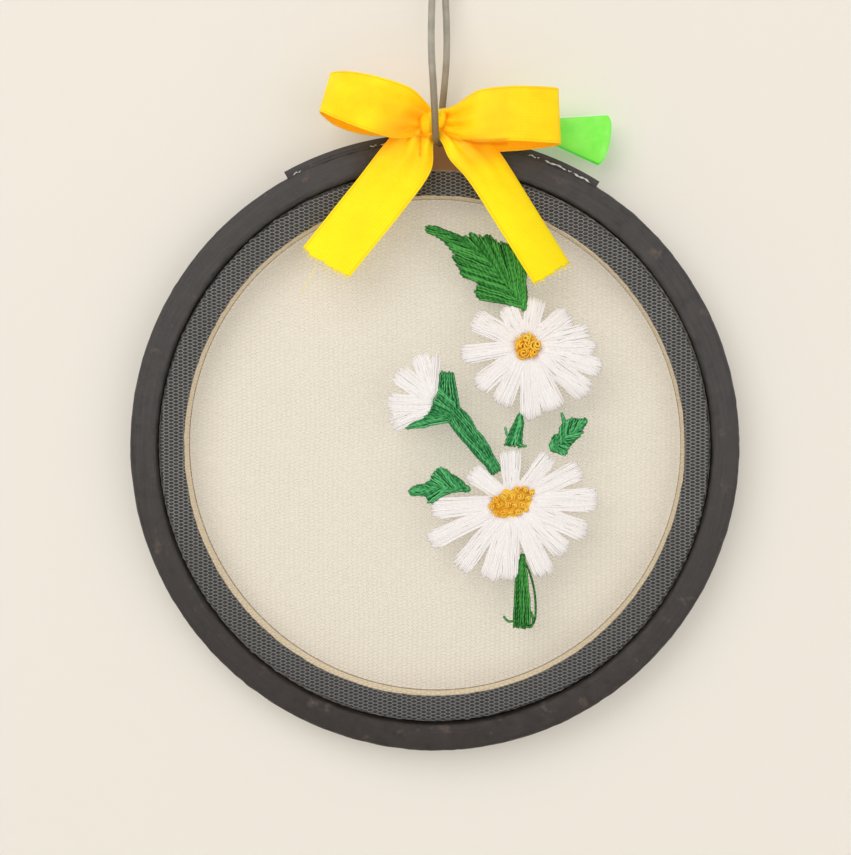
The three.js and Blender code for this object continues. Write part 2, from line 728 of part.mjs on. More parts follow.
const tied = join([
  knotSolid(),
  ribbon(LEFT_LOOP, 26),
  ribbon(RIGHT_LOOP, 28),
  ribbon(LEFT_TAIL, 12),
  ribbon(RIGHT_TAIL, 12),
]).subtract(screwRoom.add(cordRoom));

// The folds close round a few specks of air inside the knot. Only the outer skin is kept, which fills them.
const bow = tied.decompose().reduce((most, shell) => (shell.volume() > most.volume() ? shell : most));
place("bow", toGeometry(bow), SATIN);

const part = new THREE.Group();
part.add(hoop);

export default part;
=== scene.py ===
import math

import bpy
import numpy as np
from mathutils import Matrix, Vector


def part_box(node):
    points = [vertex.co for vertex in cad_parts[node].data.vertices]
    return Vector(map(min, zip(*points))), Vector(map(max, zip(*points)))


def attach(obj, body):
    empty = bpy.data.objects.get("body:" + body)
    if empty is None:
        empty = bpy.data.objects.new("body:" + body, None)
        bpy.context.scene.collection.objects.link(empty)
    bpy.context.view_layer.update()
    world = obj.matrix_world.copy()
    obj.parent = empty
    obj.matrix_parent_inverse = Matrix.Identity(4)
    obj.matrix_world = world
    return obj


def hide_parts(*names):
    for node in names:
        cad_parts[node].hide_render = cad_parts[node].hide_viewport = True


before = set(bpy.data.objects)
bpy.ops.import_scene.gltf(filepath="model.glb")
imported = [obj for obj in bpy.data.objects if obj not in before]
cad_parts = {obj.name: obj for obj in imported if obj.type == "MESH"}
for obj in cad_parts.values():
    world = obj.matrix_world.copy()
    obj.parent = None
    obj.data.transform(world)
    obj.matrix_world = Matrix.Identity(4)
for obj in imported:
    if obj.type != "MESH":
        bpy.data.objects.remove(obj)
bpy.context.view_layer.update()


# Camera. It looks almost straight at the wall from 0.43 m, from a little above and to the right of the
# middle of the rings. Places on the hoop are given in millimetres from that middle.
CAMERA_PLACE = (11, -434.5, 19.5)
CAMERA_AIM = (-1.8, -4.5, 4.5)
CAMERA_LENS = 79.05

inner_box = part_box("inner_ring")
outer_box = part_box("outer_ring")
MIDDLE = np.array(
    [
        (inner_box[0].x + inner_box[1].x) / 2,
        (outer_box[0].y + outer_box[1].y) / 2,
        (inner_box[0].z + inner_box[1].z) / 2,
    ]
)
MM = 0.001


def from_middle(points):
    """Millimetres from the middle of the rings, turned into metres in the frame."""
    return MIDDLE + np.asarray(points, float) * MM


def add_object(name, data):
    """A new object in the scene that shows the data."""
    made = bpy.data.objects.new(name, data)
    bpy.context.scene.collection.objects.link(made)
    return made


camera = add_object("camera", bpy.data.cameras.new("camera"))
camera.data.sensor_fit = "VERTICAL"
camera.data.sensor_height = 36
camera.data.lens = CAMERA_LENS
camera.data.clip_start = 0.01
camera.location = from_middle(CAMERA_PLACE)
view = Vector(from_middle(CAMERA_AIM)) - camera.location
camera.rotation_euler = view.to_track_quat("-Z", "Y").to_euler()
bpy.context.scene.camera = camera
bpy.context.scene.view_settings.view_transform = "Standard"


# Hanging cord. One loop of smooth grey cord, 1.6 mm thick: it goes up in front of the bow's knot, over the
# nail, down behind the knot and under the tension screw, where its two ends meet in the outer ring's split.
CORD_DIAMETER = 0.0016
CORD_ROUTE = [
    (1.3, -3.6, 69.8), (1.0, -6.0, 69.55), (0.75, -8.6, 69.55), (0.65, -10.6, 70.4),
    (0.6, -11.7, 72.3), (0.5, -11.9, 74.8), (0.35, -11.3, 78.0), (0.1, -9.9, 82.3),
    (-0.25, -8.0, 87.3), (-0.45, -5.9, 92.7), (-0.45, -3.7, 98.2), (-0.35, -1.6, 103.6),
    (-0.2, 0.0, 108.0), (0.15, 0.75, 110.6), (1.15, 1.0, 111.8), (2.15, 1.0, 110.6),
    (2.45, 0.9, 108.0), (2.6, 0.7, 103.6), (2.85, 0.6, 98.2), (2.95, 0.7, 92.7),
    (2.75, 1.1, 87.3), (2.3, 1.9, 82.3), (1.95, 2.7, 79.0), (1.75, 3.1, 76.0),
    (1.65, 3.1, 73.2), (1.55, 2.4, 71.0), (1.45, 0.6, 69.95), (1.4, -1.2, 69.8),
    (1.35, -3.2, 69.85),
]


def smooth_rows(rows, count):
    """Rows of numbers made into count rows on a smooth curve through them. Between two rows it is the
    cubic that leaves each of them in the direction of the line between its two neighbours."""
    rows = np.asarray(rows, float)
    at = np.linspace(0, len(rows) - 1, count)
    low = np.minimum(at.astype(int), len(rows) - 2)
    t = (at - low)[:, None]
    a, b, c, d = (rows[np.clip(low + k, 0, len(rows) - 1)] for k in (-1, 0, 1, 2))
    return (
        b
        + 0.5 * t * (c - a)
        + t**2 * (a - 2.5 * b + 2 * c - 0.5 * d)
        + t**3 * (1.5 * (b - c) + 0.5 * (d - a))
    )


def unit(vectors):
    """Each vector divided by its own length."""
    return vectors / np.maximum(np.linalg.norm(vectors, axis=-1, keepdims=True), 1e-12)


def round_turn(count):
    """Angles that go once round in equal steps."""
    return np.linspace(0, 2 * np.pi, count, endpoint=False)


def tubes(paths, radius, sides, facing=(0, -1, 0), flat=1.0):
    """Round threads along paths[thread, step]. The point at angle a of a section stands off its path by
    radius x (cos a sideways + flat x sin a forwards), and both are square to the path."""
    paths = np.asarray(paths, float)
    along = unit(np.gradient(paths, axis=1))
    side = unit(np.cross(along, np.asarray(facing, float)))
    front = np.cross(side, along)
    angle = round_turn(sides)
    radius = np.broadcast_to(radius, paths.shape[:2])[..., None, None]
    return paths[:, :, None] + radius * (
        np.cos(angle)[:, None] * side[:, :, None] + flat * np.sin(angle)[:, None] * front[:, :, None]
    )


def mark(piece, name, values):
    """Stores one number for each point of a piece, which its material reads by name."""
    layer = piece.data.attributes.new(name, "FLOAT", "POINT")
    layer.data.foreach_set("value", np.asarray(values, float).ravel().astype(np.float32))


def skin(name, points, around=False, lengthways=False, ends=False, solid=False):
    """A mesh over points[piece, along, across], where four neighbours make a face. around joins the last
    column to the first, lengthways the last row to the first, and ends closes the first and last row.
    A solid whose faces point inwards is turned. The UV map is metres along and metres across. Two values
    go with the points: own_shade is one number by chance for each piece, and crown is the sine of the
    angle round a thread, which is 1 along the side that faces forwards."""
    points = np.asarray(points, float)
    pieces, rows, columns = points.shape[:3]
    index = np.arange(pieces * rows * columns).reshape(pieces, rows, columns)
    i, j = np.meshgrid(
        np.arange(rows - (not lengthways)), np.arange(columns - (not around)), indexing="ij"
    )
    corners = [(i, j), (i + 1, j), (i + 1, j + 1), (i, j + 1)]
    quads = np.stack([index[:, a % rows, b % columns] for a, b in corners], -1).reshape(-1, 4)
    ring = np.concatenate([points, points[:, :1]], 1)
    along = np.linalg.norm(np.diff(ring, axis=1), axis=-1).mean(2).cumsum(1)
    belt = np.concatenate([points, points[:, :, :1]], 2)
    across = np.linalg.norm(np.diff(belt, axis=2), axis=-1).mean(1).cumsum(1)
    along = np.pad(along, ((0, 0), (1, 0)))
    across = np.pad(across, ((0, 0), (1, 0)))
    uv = np.stack([np.stack([along[:, a], across[:, b]], -1) for a, b in corners], -2).reshape(-1, 2)
    if solid:
        v = points.reshape(-1, 3)
        v = v - v.mean(0)
        a, b, c, d = (v[quads[:, k]] for k in range(4))
        volume = (a * (np.cross(b, c) + np.cross(c, d))).sum()
        if volume < 0:
            quads = quads[:, ::-1]
            uv = uv.reshape(-1, 4, 2)[:, ::-1].reshape(-1, 2)
    loops, starts = quads.ravel(), np.arange(0, quads.size, 4)
    if ends:
        first, last = index[:, 0], index[:, -1, ::-1]
        forward = quads[0, 1] != index[0, 1, 0]
        caps = np.concatenate([first, last])
        if forward:
            caps = caps[:, ::-1]
        starts = np.concatenate([starts, loops.size + np.arange(0, caps.size, columns)])
        loops = np.concatenate([loops, caps.ravel()])
        uv = np.concatenate([uv, np.zeros((caps.size, 2))])
    mesh = bpy.data.meshes.new(name)
    mesh.vertices.add(index.size)
    mesh.vertices.foreach_set("co", points.ravel())
    mesh.loops.add(loops.size)
    mesh.loops.foreach_set("vertex_index", loops.astype(np.int32))
    mesh.polygons.add(starts.size)
    mesh.polygons.foreach_set("loop_start", starts.astype(np.int32))
    mesh.polygons.foreach_set("use_smooth", np.ones(starts.size, bool))
    mesh.update(calc_edges=True)
    layer = mesh.uv_layers.new(name="cloth")
    layer.data.foreach_set("uv", uv.ravel())
    mesh.validate()
    piece = add_object(name, mesh)
    own = np.random.RandomState(pieces).uniform(0, 1, pieces)
    mark(piece, "own_shade", np.repeat(own, rows * columns))
    turn = round_turn(columns)
    mark(piece, "crown", np.tile(np.sin(turn), pieces * rows))
    return piece


def finish_piece(piece, slot, material, *nodes):
    """Gives a piece its material, its body and the solids it stands for, which it hides; the slot is not
    used.
    """
    piece.data.materials.append(material)
    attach(piece, "root")
    if nodes:
        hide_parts(*nodes)


def closed_piece(name, points, slot, material, *nodes):
    """A finished piece whose skin is closed all round and at both ends."""
    piece = skin(name, points, around=True, ends=True, solid=True)
    finish_piece(piece, slot, material, *nodes)
    return piece


class Nodes:
    """A node tree. Each method adds nodes to it and gives back an output socket."""

    def node(self, kind, inputs=(), **settings):
        made = self.tree.nodes.new(kind)
        for key, value in settings.items():
            setattr(made, key, value)
        for key, value in dict(inputs).items():
            if isinstance(value, bpy.types.NodeSocket):
                self.tree.links.new(value, made.inputs[key])
            else:
                made.inputs[key].default_value = value
        return made

    def math(self, operation, a, b=0.0):
        return self.node("ShaderNodeMath", {0: a, 1: b}, operation=operation).outputs[0]

    def plus(self, a, b):
        return self.math("ADD", a, b)

    def times(self, a, b):
        return self.math("MULTIPLY", a, b)

    def vector(self, operation, a, b=(0, 0, 0)):
        return self.node("ShaderNodeVectorMath", {0: a, 1: b}, operation=operation).outputs

    def split(self, vector):
        return self.node("ShaderNodeSeparateXYZ", {0: vector}).outputs

    def noise(self, vector, scale, detail=2.0, rough=0.5):
        inputs = {"Vector": vector, "Scale": scale, "Detail": detail, "Roughness": rough}
        return self.node("ShaderNodeTexNoise", inputs).outputs["Fac"]

    def ramp(self, factor, low, high):
        inputs = {"Value": factor, "From Min": low, "From Max": high}
        return self.node("ShaderNodeMapRange", inputs).outputs[0]

    def mix(self, factor, first, second):
        made = self.node("ShaderNodeMix", data_type="RGBA")
        for socket, value in ((made.inputs[0], factor), (made.inputs[6], first), (made.inputs[7], second)):
            if isinstance(value, bpy.types.NodeSocket):
                self.tree.links.new(value, socket)
            else:
                socket.default_value = value if isinstance(value, float) else (*value, 1.0)
        return made.outputs[2]


class Effect(Nodes):
    """A node group that several materials place, each with its own values."""

    def __init__(self, name, **inputs):
        self.tree = bpy.data.node_groups.new(name, "ShaderNodeTree")
        for title, value in inputs.items():
            kind = {"vector": "NodeSocketVector", "float": "NodeSocketFloat"}.get(value, "NodeSocketColor")
            self.tree.interface.new_socket(title.replace("_", " "), in_out="INPUT", socket_type=kind)
        self.inside = self.tree.nodes.new("NodeGroupInput").outputs
        self.ends = self.tree.nodes.new("NodeGroupOutput")

    def give(self, title, output):
        kind = "NodeSocketColor" if output.type == "RGBA" else "NodeSocketFloat"
        self.tree.interface.new_socket(title, in_out="OUTPUT", socket_type=kind)
        self.tree.links.new(output, self.ends.inputs[title])


class Surface(Nodes):
    """A material with one Principled shader."""

    def __init__(self, name, **plain):
        self.material = bpy.data.materials.new(name)
        self.material.use_nodes = True
        self.tree = self.material.node_tree
        self.shader = self.tree.nodes["Principled BSDF"]
        for socket, value in plain.items():
            self.shader.inputs[socket.replace("_", " ")].default_value = value

    def place(self, scale=(1, 1, 1), uv=False):
        source = self.node("ShaderNodeTexCoord").outputs["UV" if uv else "Object"]
        return self.node("ShaderNodeMapping", {"Vector": source, "Scale": scale}).outputs[0]

    def at(self, axis):
        """The point's own place along X, Y or Z, as 0, 1 or 2."""
        return self.split(self.place())[axis]

    def marked(self, name):
        return self.node("ShaderNodeAttribute", attribute_name=name).outputs["Fac"]

    def effect(self, effect, **inputs):
        made = self.tree.nodes.new("ShaderNodeGroup")
        made.node_tree = effect.tree
        for title, value in inputs.items():
            socket = made.inputs[title.replace("_", " ")]
            if isinstance(value, bpy.types.NodeSocket):
                self.tree.links.new(value, socket)
            else:
                socket.default_value = (*value, 1.0) if socket.type == "RGBA" else value
        return made.outputs

    def patches(self, a_metre, first, second):
        """Soft patches of two shades over the surface, so many to a metre."""
        return self.effect(
            TWO_SHADES, Place=self.place(), Patches_a_metre=a_metre, First=first, Second=second
        )

    def bump(self, height, distance, strength=1.0):
        inputs = {"Height": height, "Distance": distance, "Strength": strength}
        self.join("Normal", self.node("ShaderNodeBump", inputs).outputs[0])

    def join(self, socket, output):
        self.tree.links.new(output, self.shader.inputs[socket])

    def blend(self, share, other):
        """Shows the Principled shader mixed with another one by a share from 0 to 1."""
        mixed = self.node("ShaderNodeMixShader", {0: share, 1: self.shader.outputs[0], 2: other})
        self.tree.links.new(mixed.outputs[0], self.tree.nodes["Material Output"].inputs["Surface"])


def two_shades():
    """The effect of an uneven colour: soft patches of a first and a second shade, of a given size."""
    e = Effect(
        "two shades in patches", Place="vector", Patches_a_metre="float", First="colour", Second="colour"
    )
    patches = e.noise(e.inside["Place"], e.inside["Patches a metre"], 3)
    share = e.ramp(patches, 0.3, 0.7)
    e.give("Color", e.mix(share, e.inside["First"], e.inside["Second"]))
    e.give("Share", share)
    return e


TWO_SHADES = two_shades()


def cord_material():
    """Grey cord with fine lines winding round it. Near the knot a brown shade is painted, for the bow's
    shade there.
    """
    s = Surface("grey cord", Roughness=0.5)
    parts = s.split(s.place(uv=True))
    winding = s.plus(s.times(parts[0], 5200), s.times(parts[1], 7800))
    lines = s.math("SINE", winding)
    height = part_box("bow")[1].z
    # Painted shade: browner towards the knot, for the bow's shade and the orange light from the ribbon.
    wear_and_shade = s.ramp(s.at(2), height + 0.004, height - 0.012)
    grey = s.patches(260, (0.32, 0.30, 0.25), (0.46, 0.43, 0.37))
    s.join("Base Color", s.mix(wear_and_shade, grey["Color"], (0.23, 0.17, 0.09)))
    s.bump(lines, 0.00004, 0.5)
    return s.material


cord_path = from_middle(smooth_rows(CORD_ROUTE, 240))
cord_round = tubes(cord_path[None], CORD_DIAMETER / 2, 16, facing=(0.6, 0.8, 0.1))
cord = closed_piece("hanging_cord_loop", cord_round, "cord", cord_material(), "hanging_cord")


# Inner ring. A closed ring of beech, 6 mm wide, with its front painted charcoal before the net went on.
# Its inner wall is bare wood, browner along the back edge, and shows as a thin pale line through the net.
INNER_RING = dict(inner=57.3, outer=63.2, front=-3.2, back=4.3, corner=0.45)
BARE_RADIUS = 0.0577  # metres


def ring_points(profile, angles, wobble=0.0, seed=1):
    """A ring about Y: the profile's (radius, y) is carried round by angle, counted clockwise from the top.
    The radius swells and shrinks by wobble as a sum of four slow waves round the ring."""
    profile = np.asarray(profile, float)
    shift = np.random.RandomState(seed).uniform(0, 2 * np.pi, 4)
    waves = sum(np.sin((k + 2) * angles + shift[k]) / (k + 1) for k in range(4)) * wobble
    radius = profile[None, :, 0] + waves[:, None]
    y = np.broadcast_to(profile[None, :, 1], radius.shape)
    x, z = radius * np.sin(angles)[:, None], radius * np.cos(angles)[:, None]
    return from_middle(np.stack([x, y, z], -1))[None]


def rounded_box(inner, outer, front, back, corner, arc=5):
    """The outline of a strip cut across: a rectangle of radius and y, with quarter circles for corners."""
    turn = np.linspace(0, np.pi / 2, arc)
    centres = [(outer - corner, back - corner), (inner + corner, back - corner),
               (inner + corner, front + corner), (outer - corner, front + corner)]
    found = []
    for k, centre in enumerate(centres):
        angle = turn + k * np.pi / 2
        found.append(centre + corner * np.stack([np.cos(angle), np.sin(angle)], -1))
    return np.concatenate(found)


def brush_streaks():
    """The effect of lines that follow a bent strip: noise over its UV map, squeezed along the strip by
    one number of lines a metre and across it by another."""
    e = Effect("streaks along a strip", UV="vector", Along="float", Across="float")
    parts = e.split(e.inside["UV"])
    along = e.times(parts[0], e.inside["Along"])
    across = e.times(parts[1], e.inside["Across"])
    squeezed = e.node("ShaderNodeCombineXYZ", {0: along, 1: across}).outputs[0]
    e.give("Share", e.ramp(e.noise(squeezed, 1.0, 5, 0.6), 0.3, 0.72))
    return e


STREAKS = brush_streaks()


def streaks(s, along, across):
    """How light each streak is on a surface, from 0 to 1."""
    return s.effect(STREAKS, UV=s.place(uv=True), Along=along, Across=across)["Share"]


def inner_ring_material():
    """Beech with fine grain, under charcoal paint that is brushed along the ring. The wood is bare on the
    back and on the inner wall, up to a ragged edge, and the wall is darker and browner towards its back."""
    s = Surface("inner ring wood", Roughness=0.75)
    grain = streaks(s, 110, 5200)
    wood = s.mix(grain, (0.62, 0.50, 0.33), (0.84, 0.73, 0.54))
    streak = streaks(s, 60, 2600)
    paint = s.mix(streak, (0.024, 0.024, 0.026), (0.062, 0.061, 0.063))
    middle = (MIDDLE[0], 0, MIDDLE[2])
    flat = s.vector("MULTIPLY", s.vector("SUBTRACT", s.place(), middle)[0], (1, 0, 1))[0]
    far = s.vector("LENGTH", flat)["Value"]
    ragged = s.times(s.noise(s.place(), 420, 4), 0.0004)
    wall = s.ramp(s.plus(far, ragged), BARE_RADIUS + 0.00015, BARE_RADIUS)
    depth = s.at(1)
    back = s.ramp(depth, MIDDLE[1] + 0.0036, MIDDLE[1] + 0.004)
    # The inner wall is made darker and browner towards its back edge.
    browner_to_back = s.times(s.ramp(depth, MIDDLE[1] + 0.0020, MIDDLE[1] + 0.0028), wall)
    bare = s.mix(s.times(browner_to_back, 0.9), wood, (0.13, 0.075, 0.03))
    s.join("Base Color", s.mix(s.math("MAXIMUM", wall, back), paint, bare))
    s.bump(s.plus(grain, streak), 0.0001, 0.4)
    return s.material


inner_points = ring_points(rounded_box(**INNER_RING), round_turn(320), 0.06, 3)
inner_ring = skin("inner_ring_wood", inner_points, around=True, lengthways=True, solid=True)
finish_piece(inner_ring, "painted_wood", inner_ring_material(), "inner_ring")


# Net. A round of fine nylon net with six-sided holes about 1 mm wide. It is stretched flat over the inner
# ring, and its rim is pulled back between the two rings and trimmed behind.
NET_Y = -4.0
NET_RADIUS = 63.5
SWAY_RADIUS = 62  # the strands lie straight from here outwards
RIM_FRONT, RIM_BACK = -2.4, 4.3  # first and last y of the rim
HOLE_ACROSS = 1.12
HOLE_UP = 0.80
NET_BAR = 0.62
STRAND_HALF = 0.058
STRAND_DEPTH = 0.175


def net_strands(half_x, half_z):
    """Both ends of every strand of a net as [strand, end, (x, z)], over a rectangle. Each hole has one
    level strand over it and two slanting ones that lead to the level strands of the next column."""
    columns = np.arange(-math.ceil(half_x / HOLE_ACROSS), math.ceil(half_x / HOLE_ACROSS) + 1)
    rows = np.arange(-math.ceil(half_z / HOLE_UP), math.ceil(half_z / HOLE_UP) + 1)
    column, row = np.meshgrid(columns, rows, indexing="ij")
    x = column.ravel() * HOLE_ACROSS
    z = (row + 0.5 * (column % 2)).ravel() * HOLE_UP
    left, right = np.stack([x - NET_BAR / 2, z], -1), np.stack([x + NET_BAR / 2, z], -1)
    next_x = x + HOLE_ACROSS - NET_BAR / 2
    up, down = np.stack([next_x, z + HOLE_UP / 2], -1), np.stack([next_x, z - HOLE_UP / 2], -1)
    return np.concatenate([np.stack(pair, 1) for pair in ((left, right), (right, up), (right, down))])


def strand_ribs(ends, forward):
    """Three points across each end of a strand: its two sides and the ridge between them, which stands
    forward of them. Each strand is then a small folded strip of two faces."""
    along = unit(ends[:, 1] - ends[:, 0])
    side = unit(np.cross(along, forward))[:, None]
    ridge = ends + forward[:, None] * STRAND_DEPTH
    reach = STRAND_HALF * side
    return np.stack([ends - reach, ridge, ends + reach], 2)


def net_material():
    """Thin clear nylon: it gives back a cool grey, duller low down where less light falls on it, and the
    light that goes through it comes out warm."""
    s = Surface("nylon net", Roughness=0.45, Alpha=0.55)
    grey = s.patches(90, (0.80, 0.81, 0.82), (0.95, 0.96, 0.97))
    low = s.ramp(s.at(2), MIDDLE[2] - 0.015, MIDDLE[2] - 0.062)
    s.join("Base Color", s.mix(low, grey["Color"], (0.66, 0.67, 0.71)))
    shadow = s.times(s.node("ShaderNodeLightPath").outputs["Is Shadow Ray"], 0.3)
    warm = s.node("ShaderNodeBsdfTransparent", {"Color": (0.80, 0.66, 0.30, 1)}).outputs[0]
    s.blend(s.plus(shadow, 0.22), warm)
    return s.material


flat_ends = net_strands(NET_RADIUS, NET_RADIUS)
kept = (np.hypot(flat_ends[..., 0], flat_ends[..., 1]) < NET_RADIUS - 0.15).all(1)
flat_ends = flat_ends[kept]
sway = 0.22 * np.sin(flat_ends[..., ::-1] / 9.0 + (0.4, 1.3)) + 0.12 * np.sin(flat_ends[..., ::-1] / 3.7)
from_rim = SWAY_RADIUS - np.hypot(flat_ends[..., 0], flat_ends[..., 1])
flat_ends = flat_ends + sway * np.clip(from_rim / 20, 0, 1)[..., None]
net_ends = np.insert(flat_ends, 1, NET_Y, axis=-1)
facing_out = np.broadcast_to([0.0, -1.0, 0.0], (len(net_ends), 3))
NYLON = net_material()
net = skin("net_front", from_middle(strand_ribs(net_ends, facing_out)))
finish_piece(net, "net", NYLON, "net")

skirt = net_strands(math.pi * NET_RADIUS, 4.6)
skirt = skirt[((skirt[..., 1] > RIM_FRONT) & (skirt[..., 1] < RIM_BACK)).all(1)]
skirt = skirt[np.abs(skirt[:, 0, 0]) < math.pi * NET_RADIUS]
turn = skirt[..., 0] / NET_RADIUS
outwards = np.stack([np.sin(turn), 0 * turn, np.cos(turn)], -1)
skirt_ends = outwards * NET_RADIUS
skirt_ends[..., 1] = skirt[..., 1] + 0.3 * np.sin(5 * turn)
net_rim = skin("net_rim", from_middle(strand_ribs(skirt_ends, outwards[:, 0])))
finish_piece(net_rim, "net", NYLON)


# White petals. Stranded white cotton in satin stitch: every thread runs from the flower's middle out to
# the petal's tip, side by side over a padding layer, and goes down through the net at both ends.
STITCH_BACK = -4.8
PETAL_HEIGHT = 1.05
PETAL_LAYERS = ((0, 0.42), (1, 0.35))  # padding and top layer, and the thread spacing of each
THREAD = 0.24
UPPER_CENTRE = dict(x=21.4, z=23.2, long=3.3, short=3.1, slant=0)
LOWER_CENTRE = dict(x=18.0, z=-12.6, long=5.3, short=3.4, slant=20)
# Each petal's direction in degrees, how far its tip is from the flower's middle, and its width.
UPPER_PETALS = [
    (79, 11.0, 4.4), (38, 12.0, 4.9), (13, 14.5, 3.8), (-2, 15.7, 3.6), (-17, 17.7, 4.2),
    (-38, 17.6, 5.2), (-66, 16.1, 5.1), (-87, 16.9, 4.4), (-114, 14.9, 4.7), (-140, 14.8, 4.7),
    (-172, 15.1, 4.2), (153, 13.7, 5.1), (118, 10.1, 4.3),
]
LOWER_PETALS = [
    (92, 12.0, 4.6), (51, 13.8, 4.1), (26, 17.6, 4.6), (2, 19.6, 5.4), (-22, 18.6, 4.6),
    (-43, 16.8, 4.5), (-65, 18.5, 4.8), (-92, 18.0, 4.6), (-106, 18.7, 4.6), (-128, 19.7, 4.5),
    (-154, 21.2, 4.3), (-175, 18.5, 4.7), (143, 11.8, 4.6),
]


def oval(centre, degrees):
    """How far an oval centre's edge is from its middle in the given direction."""
    turn = np.radians(degrees - centre["slant"])
    return centre["long"] * centre["short"] / np.hypot(
        centre["short"] * np.cos(turn), centre["long"] * np.sin(turn)
    )


def with_depth(flat, y):
    """Places (x, z) with y put between the two."""
    return np.concatenate([flat[..., :1], y, flat[..., 1:]], -1)


def swell(t, steep):
    """A hump along t from 0 to 1: it climbs at the given slope to 1 and comes down again the same way."""
    return np.minimum(1, steep * np.minimum(t, 1 - t))


def stitch_paths(roots, tips, share, height, rng, steps=12, sway=0.06):
    """Threads from roots to tips, both [thread, (x, z)]. Along a thread t runs from 0 to 1, with short
    steps near both ends: t = 0.5 - 0.5 cos(pi u). The thread stands height x (1 - share squared x 0.45)
    x a hump that is 0 at both ends and 1 over most of the way. share is its place across the row, from
    -1 to 1."""
    t = 0.5 - 0.5 * np.cos(np.linspace(0, np.pi, steps))[None, :, None]
    flat = roots[:, None] + t * (tips - roots)[:, None]
    flat = flat + rng.normal(0, sway, (len(roots), steps, 2)) * np.sin(np.pi * t)
    hump = swell(t, 13) ** 0.6
    rise = height * (1 - 0.45 * share**2)[:, None, None] * hump
    rise = rise + rng.uniform(-0.09, 0.09, (len(roots), 1, 1)) * hump
    return with_depth(flat, STITCH_BACK + 0.35 - rise)


def threads(paths, rng, radius=THREAD, sides=6):
    """Stitches as tubes, a little flattened, that thin out where they go down through the net."""
    t = np.linspace(0, 1, paths.shape[1])[None]
    thick = radius * (0.75 + 0.25 * swell(t, 9))
    thick = thick * rng.uniform(0.85, 1.15, (len(paths), 1))
    return from_middle(paths), tubes(from_middle(paths), thick * MM, sides, flat=0.8)


def petal_stitches(centre, table, rng):
    """Paths of the stitches of all the petals of one flower, in two layers for each petal."""
    found = []
    for degrees, length, width in table:
        turn = math.radians(degrees)
        out = np.array([math.cos(turn), math.sin(turn)])
        across = np.array([out[1], -out[0]])
        middle = np.array([centre["x"], centre["z"]])
        for layer, spacing in PETAL_LAYERS:
            count = int(width / spacing)
            share = np.linspace(-1, 1, count) * (1.0 if layer else 0.82)
            share = share + rng.uniform(-0.25, 0.25, count) / count
            start = oval(centre, degrees) - 0.9 + rng.uniform(-0.3, 0.4, count)
            reach = length * (1 - 0.06 * share**4) + rng.uniform(-0.4, 0.3, count)
            if not layer:
                reach = reach - 0.8
            roots = middle + start[:, None] * out + (share * width * 0.34)[:, None] * across
            tips = middle + reach[:, None] * out + (share * width * 0.49)[:, None] * across
            found.append(stitch_paths(roots, tips, share, PETAL_HEIGHT * (1.0 if layer else 0.6), rng))
    return np.concatenate(found)


def stranded_cotton():
    """The effect of stranded cotton. Fine slanting lines, 0.5 + 0.5 sin(twist x along + 9000 x across),
    show where the strands wind round each other. They, soft patches and a shade of its own for each
    thread lead from the dark colour to the light one. A painted shade colour lies along each thread's
    two sides, for the shade between neighbouring threads."""
    e = Effect(
        "stranded cotton", UV="vector", Place="vector", Own_shade="float", Crown="float",
        Twist="float", Dark="colour", Light="colour", Gap="colour",
    )
    parts = e.split(e.inside["UV"])
    along = e.times(parts[0], e.inside["Twist"])
    wave = e.math("SINE", e.plus(along, e.times(parts[1], 9000)))
    lines = e.plus(e.times(wave, 0.5), 0.5)
    patches = e.ramp(e.noise(e.inside["Place"], 700, 3), 0.3, 0.7)
    shade = e.plus(e.times(lines, 0.3), e.times(patches, 0.25))
    shade = e.plus(shade, e.times(e.inside["Own shade"], 0.45))
    colour = e.mix(e.ramp(shade, 0.2, 0.8), e.inside["Dark"], e.inside["Light"])
    # Painted shade along the sides of each thread, where it turns away from the front.
    side = e.ramp(e.math("ABSOLUTE", e.inside["Crown"]), 0.94, 0.60)
    e.give("Color", e.mix(side, colour, e.inside["Gap"]))
    e.give("Height", lines)
    return e


COTTON = stranded_cotton()


def cotton(name, dark, light, side_shade, twist=5200):
    """A material of stranded cotton with a dark and a light shade of its own, and a painted shade for the
    sides of its threads.
    """
    s = Surface(name, Roughness=0.6, Specular_IOR_Level=0.2, Sheen_Weight=0.04, Sheen_Roughness=0.4)
    made = s.effect(
        COTTON, UV=s.place(uv=True), Place=s.place(), Own_shade=s.marked("own_shade"),
        Crown=s.marked("crown"), Twist=twist, Dark=dark, Light=light, Gap=side_shade,
    )
    s.join("Base Color", made["Color"])
    s.bump(made["Height"], 0.00006, 0.6)
    return s.material


WHITE = cotton("white cotton", (0.92, 0.89, 0.89), (1.0, 1.0, 1.0), (0.88, 0.83, 0.82))
rng = np.random.RandomState(7)
for flower, centre, table in (
    ("upper_daisy", UPPER_CENTRE, UPPER_PETALS),
    ("lower_daisy", LOWER_CENTRE, LOWER_PETALS),
):
    paths, shape = threads(petal_stitches(centre, table, rng), rng)
    closed_piece(f"{flower}_petal_stitches", shape, "white_thread", WHITE, f"{flower}_petals")

